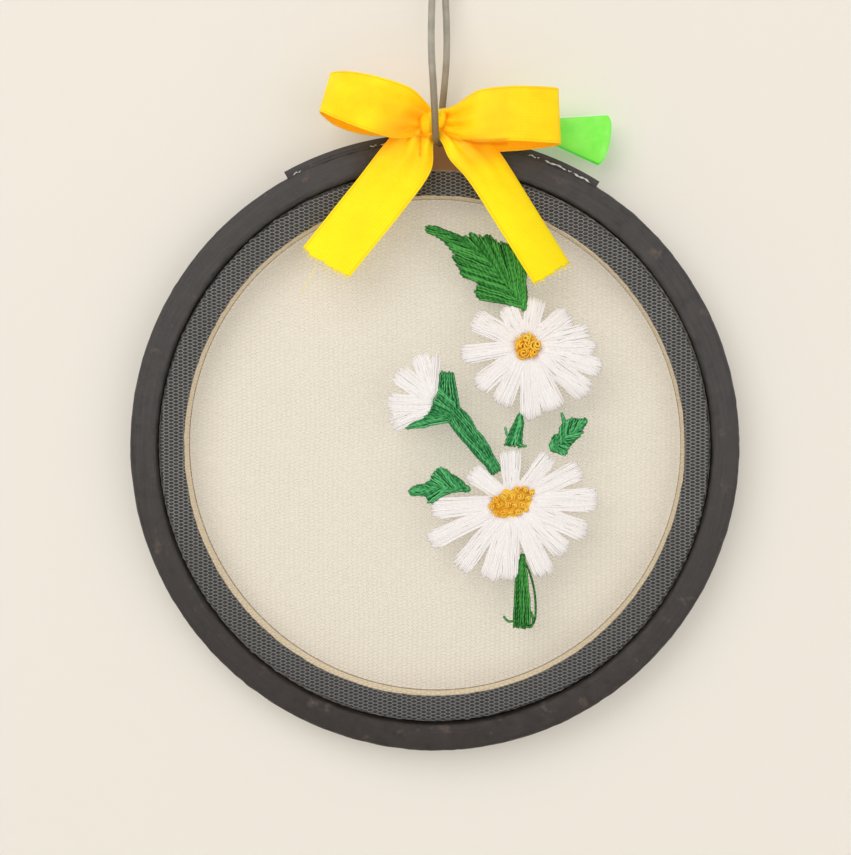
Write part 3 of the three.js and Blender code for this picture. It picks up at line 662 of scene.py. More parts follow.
# Where each petal of the bud starts, where its tip is, both as x, z, and its width.
BUD_PETALS = [
    (0.0, 12.6, 0.5, 21.3, 2.4), (-0.3, 12.4, -3.3, 21.2, 4.2), (-0.8, 11.4, -8.4, 17.2, 5.0),
    (-1.0, 9.8, -10.4, 9.9, 5.0), (-1.9, 8.3, -9.6, 5.2, 3.8),
]
bud = []
for root_x, root_z, tip_x, tip_z, width in BUD_PETALS:
    out = unit(np.array([tip_x - root_x, tip_z - root_z]))
    across = np.array([out[1], -out[0]])
    for layer, spacing in PETAL_LAYERS:
        count = int(width / spacing)
        share = np.linspace(-1, 1, count) * (1.0 if layer else 0.8)
        share = share + rng.uniform(-0.25, 0.25, count) / count
        roots = np.array([root_x, root_z]) - 0.9 * out + (share * width * 0.34)[:, None] * across
        reach = rng.uniform(-0.6, 0.3, count) - 0.5 * share**2
        tips = np.array([tip_x, tip_z]) + (share * width * 0.46)[:, None] * across + reach[:, None] * out
        bud.append(stitch_paths(roots, tips, share, PETAL_HEIGHT * (1.0 if layer else 0.6), rng))
paths, shape = threads(np.concatenate(bud), rng)
closed_piece("bud_petal_stitches", shape, "white_thread", WHITE, "bud_petals")


# Flower centres. Golden cotton wound twice round the needle for each knot: six big knots fill the upper
# flower's middle and eighteen small ones the lower flower's oval.
# Each knot's x, z from the flower's middle, and its size.
UPPER_KNOTS = [
    (-0.1, 1.9, 1.45), (-2.0, 0.4, 1.4), (1.9, 0.1, 1.5), (-0.8, -1.5, 1.6), (1.3, -1.8, 1.3),
    (0.1, 0.3, 1.3),
]
LOWER_KNOTS = [
    (0.9, 2.5, 0.9), (2.8, 2.8, 0.9), (4.1, 2.2, 0.8), (-3.3, 0.7, 0.9), (-1.6, 1.1, 0.9),
    (0.1, 1.2, 0.8), (1.8, 1.2, 0.9), (3.3, 1.1, 0.8), (-4.2, -0.9, 0.8), (-2.7, -0.5, 0.9),
    (-1.0, -0.4, 0.9), (0.6, -0.5, 0.8), (2.2, -0.4, 0.9), (-3.3, -2.3, 0.9), (-1.7, -2.4, 0.9),
    (-0.2, -2.1, 0.8), (1.3, -2.1, 0.9), (2.9, -1.5, 0.7),
]


def knot_paths(knots, rng, steps=48, turns=2.7):
    """A knot's thread: a coil whose axis leans by chance from straight forwards. At t from 0 to 1 it has
    gone round by turns x t, its radius is size x (0.72 - 0.50 t) with a small wave of its own, and it has
    risen size x 0.7 t."""
    found = []
    for x, z, size in knots:
        axis = unit(np.array([rng.normal(0, 0.7), -1.0, rng.normal(0, 0.7)]))
        side = unit(np.cross(axis, (0, 0, 1)))
        up = np.cross(side, axis)
        t = np.linspace(0, 1, steps)[:, None]
        turn = 2 * np.pi * (turns * t + rng.uniform())
        radius = size * (0.72 - 0.50 * t) * (1 + 0.26 * np.sin(turn * 1.4 + rng.uniform(0, 6)))
        foot = np.array([x, STITCH_BACK - 0.4 - 0.5 * size, z])
        found.append(foot + radius * (np.cos(turn) * side + np.sin(turn) * up) + size * 0.7 * t * axis)
    return np.array(found)


def underlay(centre, rng):
    """Short level stitches that fill a flower's middle under its knots, from one edge of the oval to the
    other: at height h the edge is at long x sqrt(1 - (h / short) squared) either side."""
    h = np.linspace(-0.93, 0.93, int(centre["short"] / 0.14))
    half = (centre["long"] - 0.3) * np.sqrt(1 - h**2)
    slant = math.radians(centre["slant"])
    turn = np.array([[math.cos(slant), math.sin(slant)], [-math.sin(slant), math.cos(slant)]])
    middle = (centre["x"], centre["z"])
    left = np.stack([-half, h * centre["short"]], -1) @ turn + middle
    right = np.stack([half, h * centre["short"]], -1) @ turn + middle
    return stitch_paths(left, right, np.zeros(len(h)), 0.75, rng)


GOLD = cotton("golden cotton", (1.0, 0.55, 0.035), (1.0, 0.82, 0.12), (0.88, 0.38, 0.012), twist=4200)
for flower, centre, knots, thick, spread in (
    ("upper_daisy", UPPER_CENTRE, UPPER_KNOTS, 0.26, 1.0),
    ("lower_daisy", LOWER_CENTRE, LOWER_KNOTS, 0.20, 1.1),
):
    shifted = [
        (x * spread + centre["x"], z * spread + centre["z"], size * (0.6 + spread / 2))
        for x, z, size in knots
    ]
    coils = from_middle(knot_paths(shifted, rng))
    shape = tubes(coils, thick * MM, 8, facing=(0.12, -1, 0.08))
    closed_piece(f"{flower}_knots", shape, "yellow_thread", GOLD, f"{flower}_centre")
    paths, shape = threads(underlay(centre, rng), rng)
    closed_piece(f"{flower}_underlay", shape, "yellow_thread", GOLD)


# Leaves and stems. Green cotton: the leaves are worked in slanting stitches from both edges to the rib,
# and the stems and the bud's cup in long stitches side by side.
# Each leaf's rib, its upper and lower edge, and how much the stitches of the two slant.
LEAVES = {
    "top_leaf": (
        [
            (20.8, 31.8), (19.4, 33.6), (17.8, 35.5), (16.3, 37.8), (14.7, 40.1), (12.7, 42.4),
            (11.2, 44.2), (8.1, 46.8), (5.2, 48.2), (2.0, 49.2), (-1.8, 50.1),
        ],
        [
            (21.3, 32.6), (21.2, 35.0), (20.9, 39.1), (20.4, 42.4), (19.3, 44.4), (18.0, 45.6),
            (16.4, 46.6), (14.5, 47.1), (12.4, 48.5), (10.9, 48.0), (8.9, 49.1), (7.1, 48.2),
            (5.3, 48.4), (3.5, 49.1), (1.7, 49.8), (-0.2, 50.4), (-1.9, 50.3),
        ],
        [
            (20.2, 32.1), (18.6, 33.0), (14.7, 33.4), (10.4, 34.1), (9.5, 36.0), (10.3, 37.5),
            (9.2, 38.4), (6.6, 39.3), (5.6, 41.3), (4.4, 43.1), (4.5, 44.9), (3.1, 46.2), (2.6, 47.1),
            (0.2, 48.6), (-1.9, 49.8),
        ],
        (1.0, 0.9),
    ),
    "left_leaf": (
        [(8.0, -9.7), (4.6, -9.5), (1.6, -9.3), (-1.2, -9.7), (-5.6, -10.5)],
        [
            (8.1, -9.3), (6.1, -7.6), (3.8, -6.1), (1.8, -4.7), (0.1, -5.7), (-0.5, -7.2),
            (-2.2, -8.7), (-4.2, -9.0), (-5.7, -10.2),
        ],
        [
            (7.8, -9.9), (5.8, -9.9), (3.2, -10.3), (0.9, -11.6), (-1.1, -12.7), (-1.8, -11.2),
            (-3.4, -11.0), (-5.4, -10.9),
        ],
        (0.6, 0.6),
    ),
    "right_leaf": (
        [(27.4, -0.5), (28.8, 1.0), (30.4, 2.5), (32.4, 4.0), (35.1, 6.2)],
        [
            (26.8, 0.2), (26.9, 1.4), (27.7, 2.9), (28.9, 3.4), (29.3, 4.6), (30.2, 5.8), (31.6, 6.5),
            (33.6, 6.7), (35.1, 6.4),
        ],
        [
            (27.0, -0.7), (28.5, -1.2), (30.3, -1.7), (31.0, -0.3), (32.0, 1.2), (33.2, 2.3),
            (34.0, 3.6), (34.8, 5.2), (35.2, 6.1),
        ],
        (0.6, 0.6),
    ),
}
GREEN_SPACING = 0.48
GREEN_THREAD = 0.29


def leaf_stitches(rib, edge, slant, rng):
    """Slanting stitches from a leaf's rib out to one of its edges, both listed from its foot to its tip.
    The stitch that ends at share t of the edge starts at share (1 - 0.2 slant) x t to the power
    1 + slant of the rib."""
    rib_fine, edge_fine = smooth_rows(rib, 200), smooth_rows(edge, 60)
    length = np.linalg.norm(np.diff(edge_fine, axis=0), axis=1).sum()
    layers = []
    for height, closer in ((0.45, 0.8), (0.8, 1.0)):
        count = int(length / GREEN_SPACING * (1.25 if closer < 1 else 1))
        tips = smooth_rows(edge, count)
        share = (1 - 0.2 * slant) * np.linspace(0, 1, count) ** (1 + slant)
        roots = rib_fine[(share * 199).astype(int)]
        tips = roots + (tips - roots) * (0.95 if closer < 1 else 1.0)
        roots = roots - unit(tips - roots) * 0.4 + rng.normal(0, 0.13, roots.shape)
        tips = tips + rng.normal(0, 0.13, tips.shape)
        layers.append(stitch_paths(roots, tips, np.zeros(count), height, rng, sway=0.09))
    return np.concatenate(layers)


def stem_stitches(rows, rng, height=0.8):
    """Long stitches side by side along a stem, in two layers. Its rows are x, z, reach to the left and
    reach to the right."""
    fine = smooth_rows(rows, 12)
    along = unit(np.gradient(fine[:, :2], axis=0))
    across = np.stack([along[:, 1], -along[:, 0]], -1)
    widest = (fine[:, 2] + fine[:, 3]).max()
    t = np.linspace(0, 1, 12)[None, :, None]
    hump = swell(t, 8) ** 0.6
    layers = []
    for lower in (0.4, 0.0):
        count = max(3, int(widest / GREEN_SPACING))
        share = np.linspace(-1, 1, count)[:, None] * (1 - lower * 0.3)
        reach = np.where(share < 0, fine[None, :, 2], fine[None, :, 3]) * share * 0.92
        flat = fine[None, :, :2] + reach[..., None] * across[None]
        ends = rng.uniform(-0.4, 0.3, (count, 1, 1)) * along[None]
        flat = flat + ends * np.abs(2 * t - 1) ** 3 + rng.normal(0, 0.08, flat.shape)
        y = STITCH_BACK + 0.35 - (height - lower) * (1 - 0.45 * share**2)[..., None] * hump
        layers.append(with_depth(flat, y))
    return np.concatenate(layers)


# The bud's cup and stalk in four bands, and the cup's upper left side, which is worked like a leaf.
CALYX = [
    [(3.2, 17.1, 1.5, 1.5), (3.1, 14.0, 1.9, 1.8), (3.5, 10.5, 2.2, 1.6), (4.3, 7.4, 1.9, 1.6)],
    [(-6.2, 4.6, 0.4, 0.4), (-2.6, 5.8, 1.0, 1.1), (1.0, 7.0, 1.8, 1.5), (4.4, 7.6, 1.8, 1.7)],
    [(4.0, 9.2, 1.5, 1.6), (7.1, 5.6, 1.4, 1.4), (9.2, 2.8, 1.2, 1.3), (10.9, 0.9, 1.0, 1.1),
     (12.6, -1.7, 0.9, 1.0), (14.6, -5.6, 0.8, 0.8)],
    [(3.6, 7.6, 1.2, 1.2), (5.4, 4.6, 1.0, 0.9), (7.1, 2.5, 0.8, 0.7), (9.0, 0.4, 0.9, 0.8),
     (10.9, -1.7, 0.8, 0.9), (12.8, -3.8, 0.8, 0.8), (14.1, -6.0, 0.6, 0.7)],
]
CALYX_JOINT = [(4.8, 10.4), (4.5, 8.6), (4.0, 7.4), (3.0, 6.9)]
CALYX_EDGE = [(1.3, 14.2), (0.9, 12.4), (0.0, 10.2), (-1.1, 8.6), (-2.4, 7.0)]
MIDDLE_STEM = [(19.8, 7.5, 0.3, 0.3), (19.6, 5.3, 1.0, 1.0), (18.8, 2.8, 1.5, 1.5), (18.3, 0.2, 2.0, 2.0)]
BOTTOM_STEM = [
    (20.4, -24.8, 0.5, 0.5), (20.2, -28.7, 1.1, 1.1), (20.4, -34.0, 1.7, 1.7), (20.4, -38.0, 1.8, 1.8),
    (20.4, -41.5, 2.0, 2.0),
]
GREEN = cotton("green cotton", (0.006, 0.14, 0.012), (0.12, 0.56, 0.11), (0.001, 0.045, 0.005))
FRESH_GREEN = cotton("fresh green cotton", (0.008, 0.18, 0.040), (0.17, 0.74, 0.27), (0.001, 0.085, 0.020))
green_work = {
    leaf: [leaf_stitches(rib, edge, slant, rng) for edge, slant in zip((upper, lower), slants)]
    for leaf, (rib, upper, lower, slants) in LEAVES.items()
}
green_work.update({
    "middle_stem": [stem_stitches(MIDDLE_STEM, rng)],
    "bottom_stem": [stem_stitches(BOTTOM_STEM, rng)],
    "bud_calyx_stalk": [leaf_stitches(CALYX_JOINT, CALYX_EDGE, 0.0, rng)]
    + [stem_stitches(rows, rng, 0.7 + 0.1 * k) for k, rows in enumerate(CALYX)],
})
# A thread of the bottom stem stands off in a loop, and one end sticks out beside its foot. One nub sticks
# out at the right leaf and one at the foot of the middle stem, and a thread stands off the bud's stalk.
LOOSE_GREEN = {
    "bottom_stem": [
        [(20.9, -26.0), (22.2, -29.0), (23.2, -33.0), (23.5, -37.0), (23.2, -40.0), (21.8, -41.5)],
        [(19.4, -39.6), (18.4, -39.9), (17.4, -40.0), (16.8, -39.6), (16.4, -39.2), (16.2, -38.8)],
        [(20.9, -41.0), (21.9, -41.3), (22.7, -40.9), (22.9, -39.6), (22.7, -38.6), (22.5, -37.8)],
    ],
    "right_leaf": [
        [(29.9, 5.0), (29.7, 5.8), (29.6, 6.5), (29.5, 7.1), (29.4, 7.6), (29.3, 7.9)],
        [(30.3, 5.2), (30.0, 6.0), (29.8, 6.6), (29.7, 7.0), (29.5, 7.3), (29.5, 7.5)],
    ],
    "middle_stem": [
        [(19.4, 0.9), (19.9, 0.6), (20.4, 0.4), (20.8, 0.3), (21.1, 0.3), (21.3, 0.4)],
        [(17.2, 2.2), (16.9, 2.8), (16.7, 3.4), (16.6, 3.9), (16.5, 4.3), (16.5, 4.6)],
    ],
    "bud_calyx_stalk": [
        [(5.2, 9.4), (6.4, 8.6), (7.6, 7.6), (8.6, 6.3), (9.2, 5.0), (9.7, 3.8)],
    ],
}
for node, loops in LOOSE_GREEN.items():
    flat = np.array([smooth_rows(loop, 12) for loop in loops])
    away = np.sin(np.linspace(0.25, math.pi - 0.25, 12))[None, :, None]
    y = np.broadcast_to(STITCH_BACK + 0.3 - 0.75 * away, (len(loops), 12, 1))
    green_work[node].append(with_depth(flat, y))
for node, found in green_work.items():
    paths, shape = threads(np.concatenate(found), rng, GREEN_THREAD)
    shade = GREEN if node in ("top_leaf", "bottom_stem") else FRESH_GREEN
    closed_piece(f"{node}_stitches", shape, "green_thread", shade, node)


# Outer ring. A strip of beech bent round and open at the top, brushed with charcoal paint, which is worn
# thin along its edges. A second strip is glued outside each of its two ends.
OUTER_RING = dict(inner=63.9, outer=70.1, front=-4.5, back=4.5, corner=1.1)
OUTER_RADIUS = OUTER_RING["outer"]
SPLIT = (-3.0, 6.9)  # x of the ring's two ends
STRIP_ENDS = (-28.5, 32.0)  # degrees clockwise from the top
STRIP_THICK = (1.4, 1.1)
SEAM_RADIUS, SEAM_Y = 70.02, -3.86
RING_STEPS = 900


def painted_material():
    """Charcoal paint: brush streaks follow the strip, thick and thin paint lie in cloudy patches, the lower
    part has a painted shade that makes it browner and deeper, and the wood shows in a few worn spots."""
    s = Surface("charcoal paint")
    streak = streaks(s, 70, 1500)
    fine = streaks(s, 420, 7000)
    cloud = s.patches(420, (0.020, 0.018, 0.019), (0.078, 0.071, 0.070))
    brushed = s.mix(streak, (0.024, 0.022, 0.023), (0.066, 0.061, 0.060))
    even = s.mix(0.5, cloud["Color"], brushed)
    # Painted shade: the ring is browner and deeper towards the bottom, which gets less of the light from
    # above.
    low = s.ramp(s.at(2), MIDDLE[2] + 0.010, MIDDLE[2] - 0.065)
    paint = s.mix(s.times(low, 0.85), even, (0.022, 0.014, 0.011))
    wear_and_shade = s.noise(s.place(), 190, 5, 0.65)
    brown = s.times(s.ramp(wear_and_shade, 0.60, 0.74), 0.6)
    s.join("Base Color", s.mix(brown, paint, (0.17, 0.12, 0.085)))
    s.join("Roughness", s.ramp(cloud["Share"], -0.9, 1.6))
    rough = s.plus(s.times(streak, 0.5), s.times(fine, 0.35))
    s.bump(s.plus(rough, s.noise(s.place(), 1300, 4)), 0.00022, 0.6)
    return s.material


PAINT = painted_material()
split_angles = [math.asin(x / OUTER_RADIUS) for x in SPLIT]
around_ring = np.linspace(split_angles[1], split_angles[0] + 2 * np.pi, RING_STEPS)
outer_points = ring_points(rounded_box(**OUTER_RING), around_ring, 0.08, 5)
dents = np.random.RandomState(11).normal(0, 1, (RING_STEPS, outer_points.shape[2], 3))
for _ in range(3):
    dents = (dents + np.roll(dents, 1, 0) + np.roll(dents, -1, 0)) / 3
dented = outer_points + dents[None] * 0.09 * MM
closed_piece("outer_ring_wood", dented, "painted_wood", PAINT, "outer_ring")
for side, name in enumerate(("left", "right")):
    angles = np.linspace(split_angles[side], math.radians(STRIP_ENDS[side]), 90)
    inner = OUTER_RADIUS + 0.12
    profile = rounded_box(inner, inner + STRIP_THICK[side] + 0.15, -4.2, 4.2, 0.4, 4)
    strip = ring_points(profile, angles, 0.05, 8 + side)
    closed_piece(f"end_strip_{name}_wood", strip, "painted_wood", PAINT, f"end_strip_{name}")

    angles = np.linspace(angles[0] * 1.2, angles[-1], 90)
    seam = [SEAM_RADIUS * np.sin(angles), SEAM_Y + 0 * angles, SEAM_RADIUS * np.cos(angles)]
    filler = tubes(from_middle(np.stack(seam, -1))[None], 0.42 * MM, 10)
    closed_piece(f"seam_{name}_filler", filler, "painted_wood", PAINT)

# Dried glue shows along the seam of each strip in short uneven beads: first and last angle, thickness.
GLUE_BEADS = [
    (18.0, 20.2, 0.16), (21.2, 25.6, 0.24), (27.0, 30.6, 0.26), (25.9, 26.6, 0.14),
    (-12.0, -10.6, 0.15), (-9.9, -8.2, 0.2), (-27.3, -25.6, 0.16),
]
beads = []
for first, last, thick in GLUE_BEADS:
    t = np.linspace(0, 1, 26)
    angle = np.radians(first + (last - first) * t)
    radius = OUTER_RADIUS + 0.05 + 0.12 * np.sin(9 * t + first)
    path = np.stack([radius * np.sin(angle), -4.25 - 0.1 * np.sin(7 * t), radius * np.cos(angle)], -1)
    bulge = thick * (0.35 + 0.65 * np.abs(np.sin(11 * t + last)))
    bulge = bulge * np.minimum(1, 8 * np.minimum(t, 1 - t) + 0.1)
    beads.append(tubes(from_middle(path)[None], bulge[None] * MM, 8)[0])
dried_glue = Surface("dried glue", Roughness=0.25, Base_Color=(0.62, 0.60, 0.58, 1)).material
closed_piece("strip_glue_beads", np.array(beads), "painted_wood", dried_glue)


# Tension screw. A plated steel screw with a round head, cut with a 0.6 mm thread, runs through a lug on
# each strip. It draws the two ends of the outer ring together.
SCREW_PLACE = (2.4, -0.5, 74.3)
SCREW_TILT = math.radians(3.5)
SCREW_ENDS = (-11, 16)
SCREW_RADIUS, THREAD_DEPTH, PITCH = 1.36, 0.14, 0.6


def tilted(points, angle):
    """Points turned about Y by an angle, so that what lies to the right goes down."""
    x, y, z = np.moveaxis(np.asarray(points, float), -1, 0)
    return np.stack(
        [x * math.cos(angle) + z * math.sin(angle), y, z * math.cos(angle) - x * math.sin(angle)], -1
    )


def along_screw(points):
    """Points with X along the screw, tilted down to the right and moved to its place."""
    return from_middle(tilted(points, SCREW_TILT) + SCREW_PLACE)


def turned(profile, sides=40):
    """A piece turned on a lathe: each (x, radius) of the profile is carried round the screw's axis."""
    profile = np.asarray(profile, float)
    angle = round_turn(sides)
    x = np.broadcast_to(profile[:, :1], (len(profile), sides))
    return np.stack([x, profile[:, 1:] * np.cos(angle), profile[:, 1:] * np.sin(angle)], -1)[None]


def steel_material():
    """Plated steel, with smears along the screw that change how light and how dull it is."""
    s = Surface("plated steel", Metallic=1.0)
    smear = s.noise(s.place(scale=(900, 300, 300)), 1.0, 4)
    s.join("Base Color", s.mix(s.ramp(smear, 0.3, 0.7), (0.42, 0.40, 0.37), (0.66, 0.64, 0.60)))
    s.join("Roughness", s.ramp(smear, -0.4, 1.7))
    return s.material


STEEL = steel_material()
turns = np.linspace(*SCREW_ENDS, 540)
around_screw = round_turn(24)
phase = turns[:, None] / PITCH * 2 * np.pi - around_screw[None]
thread_radius = SCREW_RADIUS + THREAD_DEPTH * np.cos(phase)
thread_radius[[0, -1]] = 1.2
screw_x = np.broadcast_to(turns[:, None], phase.shape)
screw_y, screw_z = thread_radius * np.cos(around_screw), thread_radius * np.sin(around_screw)
screw_points = along_screw(np.stack([screw_x, screw_y, screw_z], -1)[None])
closed_piece("screw_thread", screw_points, "steel", STEEL, "screw")
head = turned([(-10.8, 0.2), (-10.8, 2.5), (-11.2, 2.6), (-12.0, 2.5), (-12.35, 1.9), (-12.4, 0.2)])
closed_piece("screw_head", along_screw(head), "steel", STEEL)
for name in ("lug_left", "lug_right"):
    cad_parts[name].data.materials.clear()
    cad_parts[name].data.materials.append(STEEL)


# Screw knob. A flat fan of see-through fluorescent green plastic, moulded on a short round hub at the
# screw's right end. Its edges are rounded and a deeper green.
KNOB = dict(x=16.5, z=74.6, tilt=10.9, spread=14.5, reach=24.0, neck=9.0, thick=3.0)


def fan_outline(count=24):
    """The fan's outline as (x, z) from its point: two parallel sides at the neck, and at the end an arc
    that is drawn in by 0.9 x share to the fifth power towards its two corners."""
    spread = math.radians(KNOB["spread"])
    half = KNOB["neck"] * math.tan(spread)
    turn = np.linspace(-1, 1, count)
    reach = KNOB["reach"] + 0.35 - 0.9 * np.abs(turn) ** 5
    arc_x, arc_z = reach * np.cos(spread * turn), reach * np.sin(spread * turn) * (1 - 0.02 * turn**8)
    arc = np.stack([arc_x, arc_z], -1)
    lower = np.linspace((0, -half), (KNOB["neck"], -half), 8)
    slope = np.linspace(lower[-1], arc[0], 12)[1:]
    bottom = np.concatenate([lower, slope])
    top = bottom[::-1] * (1, -1)
    return np.concatenate([bottom, arc[1:-1], top])


def knob_material():
    """Fluorescent plastic: it takes in light all over and gives it off green, most along its cut edges.
    A point is on an edge where the surface doesn't face straight forwards or backwards."""
    s = Surface(
        "green plastic", Roughness=0.3, Subsurface_Weight=0.25, Subsurface_Scale=0.002, Coat_Weight=0.3
    )
    facing = s.math("ABSOLUTE", s.split(s.node("ShaderNodeNewGeometry").outputs["Normal"])[1])
    edge = s.ramp(facing, 0.75, 0.35)
    body = s.patches(300, (0.18, 0.80, 0.055), (0.28, 0.90, 0.10))
    s.join("Base Color", s.mix(edge, body["Color"], (0.05, 0.85, 0.05)))
    s.join("Emission Color", s.mix(edge, (0.13, 0.86, 0.055), (0.02, 0.9, 0.03)))
    s.join("Emission Strength", s.plus(s.times(edge, 0.22), 0.13))
    s.bump(body["Share"], 0.0001, 0.3)
    return s.material


outline = fan_outline()
inward = (0.0, 0.25 / 6.0, 0.6 / 6.0, 0.9)  # share of the way from the outline to the centre line
depth = KNOB["thick"] / 2 - np.array([0.5, 0.15, 0.0, 0.0])
centre_line = np.stack([outline[:, 0] * 0.92 + 0.9, outline[:, 1] * 0.0], -1)
rims = []
for y_sign, steps in ((-1, (3, 2, 1, 0)), (1, (0, 1, 2, 3))):
    for step in steps:
        flat = outline + (centre_line - outline) * inward[step]
        rims.append(np.insert(flat, 1, y_sign * depth[step], axis=-1))
fan = np.stack(rims)
fan = tilted(fan, math.radians(KNOB["tilt"])) + (KNOB["x"], SCREW_PLACE[1], KNOB["z"])
GREEN_PLASTIC = knob_material()
closed_piece("knob_fan", from_middle(fan)[None], "green_plastic", GREEN_PLASTIC, "screw_knob")
hub = turned([(11.3, 1.6), (11.3, 2.3), (11.5, 2.6), (18.2, 2.6), (18.5, 2.3), (18.5, 0.2)])
closed_piece("knob_hub", along_screw(hub), "green_plastic", GREEN_PLASTIC)


# Bow. One length of bright yellow satin ribbon, 12.7 mm wide, tied round the screw: two loops, two tails
# cut straight and fraying, and a tight knot that gathers them.
RIBBON_COLUMNS = 65
FRAYED_THREADS = (56, 26)  # at the left and the right tail's end
LEFT_LOOP = [
    (-0.8, -6.6, 74.2, 8, 0, 2.6, 0.5, 0), (-4.1, -8.6, 74.8, 14, 4, 4.7, 0.6, 0),
    (-7.6, -11.8, 75.5, 18, 8, 6.2, 0.3, 0), (-13.7, -14.0, 77.3, 17, 11, 6.3, 0, 0),
    (-19.8, -13.4, 79.1, 14, 24, 6.3, 0, 0), (-23.8, -10.4, 80.3, 11, 37, 6.3, 0, 0),
    (-23.9, -7.8, 79.9, 11, 37, 6.3, 0, 0), (-20.4, -6.2, 78.2, 14, 28, 6.3, 0, 0),
    (-14.4, -5.9, 77.0, 16, 12, 6.2, 0, 0), (-8.6, -6.2, 75.6, 15, 6, 5.0, 0.3, 0),
    (-4.5, -6.2, 74.9, 10, 0, 3.4, 0.5, 0), (-0.8, -6.0, 74.2, 8, 0, 2.6, 0.5, 0),
]
RIGHT_LOOP = [
    (0.8, -6.6, 74.2, 0, 0, 2.6, 0.5, 0), (4.3, -8.8, 73.8, 0, 4, 3.6, 0.6, 0),
    (7.3, -11.4, 74.0, -1, 8, 4.9, 0.4, 0), (10.8, -13.6, 74.4, 1, 8, 6.0, 0.1, 0),
    (17.4, -14.3, 74.8, 0, 8, 6.2, 0, 0), (23.4, -13.5, 74.7, -1, 6, 6.3, 0, 0),
    (27.8, -11.0, 74.7, -2, 4, 6.3, 0, 0), (27.9, -8.6, 74.6, -3, 4, 6.3, 0, 0),
    (23.4, -7.0, 74.0, -6, 6, 6.3, 0, 0), (17.4, -6.9, 73.3, -7, 8, 6.2, 0, 0),
    (10.8, -7.0, 72.7, -5, 6, 5.6, 0.2, 0), (5.4, -7.1, 73.2, -2, 2, 4.0, 0.5, 0),
    (0.8, -6.0, 74.0, 0, 0, 2.6, 0.5, 0),
]
LEFT_TAIL = [
    (-0.9, -7.2, 73.4, 112, 0, 2.2, 0.4, 0), (-3.7, -8.9, 70.6, 116, 0, 4.2, 0.6, 0),
    (-5.9, -8.9, 65.4, 119, 0, 6.1, 0.3, 0.5), (-11.4, -8.1, 58.0, 126, 0, 6.3, 0, 0.3),
    (-18.6, -7.6, 49.2, 126, 0, 6.3, 0, 0.2), (-24.4, -8.0, 41.9, 123, 0, 6.3, 0, 0),
]
RIGHT_TAIL = [
    (1.2, -7.2, 73.4, 70, 10, 2.2, 0.4, 0), (5.4, -9.4, 70.8, 66, 16, 3.9, 0.6, 0),
    (8.4, -10.4, 67.4, 62, 26, 5.6, 0.4, 0.4), (12.3, -10.9, 62.4, 58, 36, 6.0, 0.1, 1.0),
    (18.6, -10.7, 52.4, 58, 38, 6.1, 0, 1.0), (26.8, -10.6, 39.4, 59, 38, 6.1, 0, 0.7),
]

# Where the folds are deep, light goes from yellow to yellow and turns orange; an orange shade is painted
# round these spots for it. The spots are x, z, how far each reaches and how deep it is: the valley of the
# left loop, the creases at the knot, and the tail tops.
DEEP_SPOTS = [
    (-2.2, 76.2, 1.8, 0.8), (-3.8, 75.0, 2.1, 0.85), (-5.8, 73.4, 2.4, 0.85), (-7.9, 71.7, 2.7, 0.85),
    (-10.0, 70.0, 2.8, 0.85), (-11.8, 69.0, 2.2, 0.6), (-4.0, 71.6, 2.6, 0.8), (-2.9, 69.6, 0.8, 0.9),
    (-2.8, 67.8, 0.6, 0.8), (-2.8, 66.3, 0.45, 0.6), (-0.7, 70.6, 1.2, 0.9), (1.6, 71.5, 0.8, 0.9),
    (3.0, 70.4, 0.8, 0.9), (4.4, 69.7, 0.8, 0.8), (6.0, 69.0, 0.9, 0.8), (7.8, 68.0, 1.9, 0.9),
    (10.4, 67.2, 2.4, 0.9), (13.2, 66.4, 2.2, 0.75), (10.2, 64.6, 3.2, 0.4), (3.4, 75.2, 0.6, 0.8),
    (-3.2, 74.2, 0.8, 0.6), (5.0, 74.0, 3.0, 0.35), (12.0, 75.0, 6.0, 0.25), (20.0, 75.0, 7.0, 0.25),
    (-10.0, 76.0, 4.0, 0.2), (-7.0, 66.0, 5.0, 0.22), (-17.0, 51.0, 2.6, 0.18),
]

# Tight creases, as lines of x, z, along which a brown shade is painted: down the left tail's top, under the
# right loop, and round the knot.
CREASES = [
    [(-2.9, 70.2), (-2.8, 68.2), (-2.9, 66.2)],
    [(1.7, 72.0), (2.7, 70.9), (4.3, 69.9), (5.9, 69.3), (9.5, 68.8), (12.9, 68.7), (16.5, 68.9)],
    [(-4.0, 70.4), (-2.2, 70.4), (-0.9, 70.1), (0.2, 68.8)],
    [(-3.1, 74.5), (-2.9, 72.7), (-2.7, 71.1)],
    [(3.2, 75.5), (3.0, 74.0), (2.5, 72.6), (1.7, 71.8)],
]


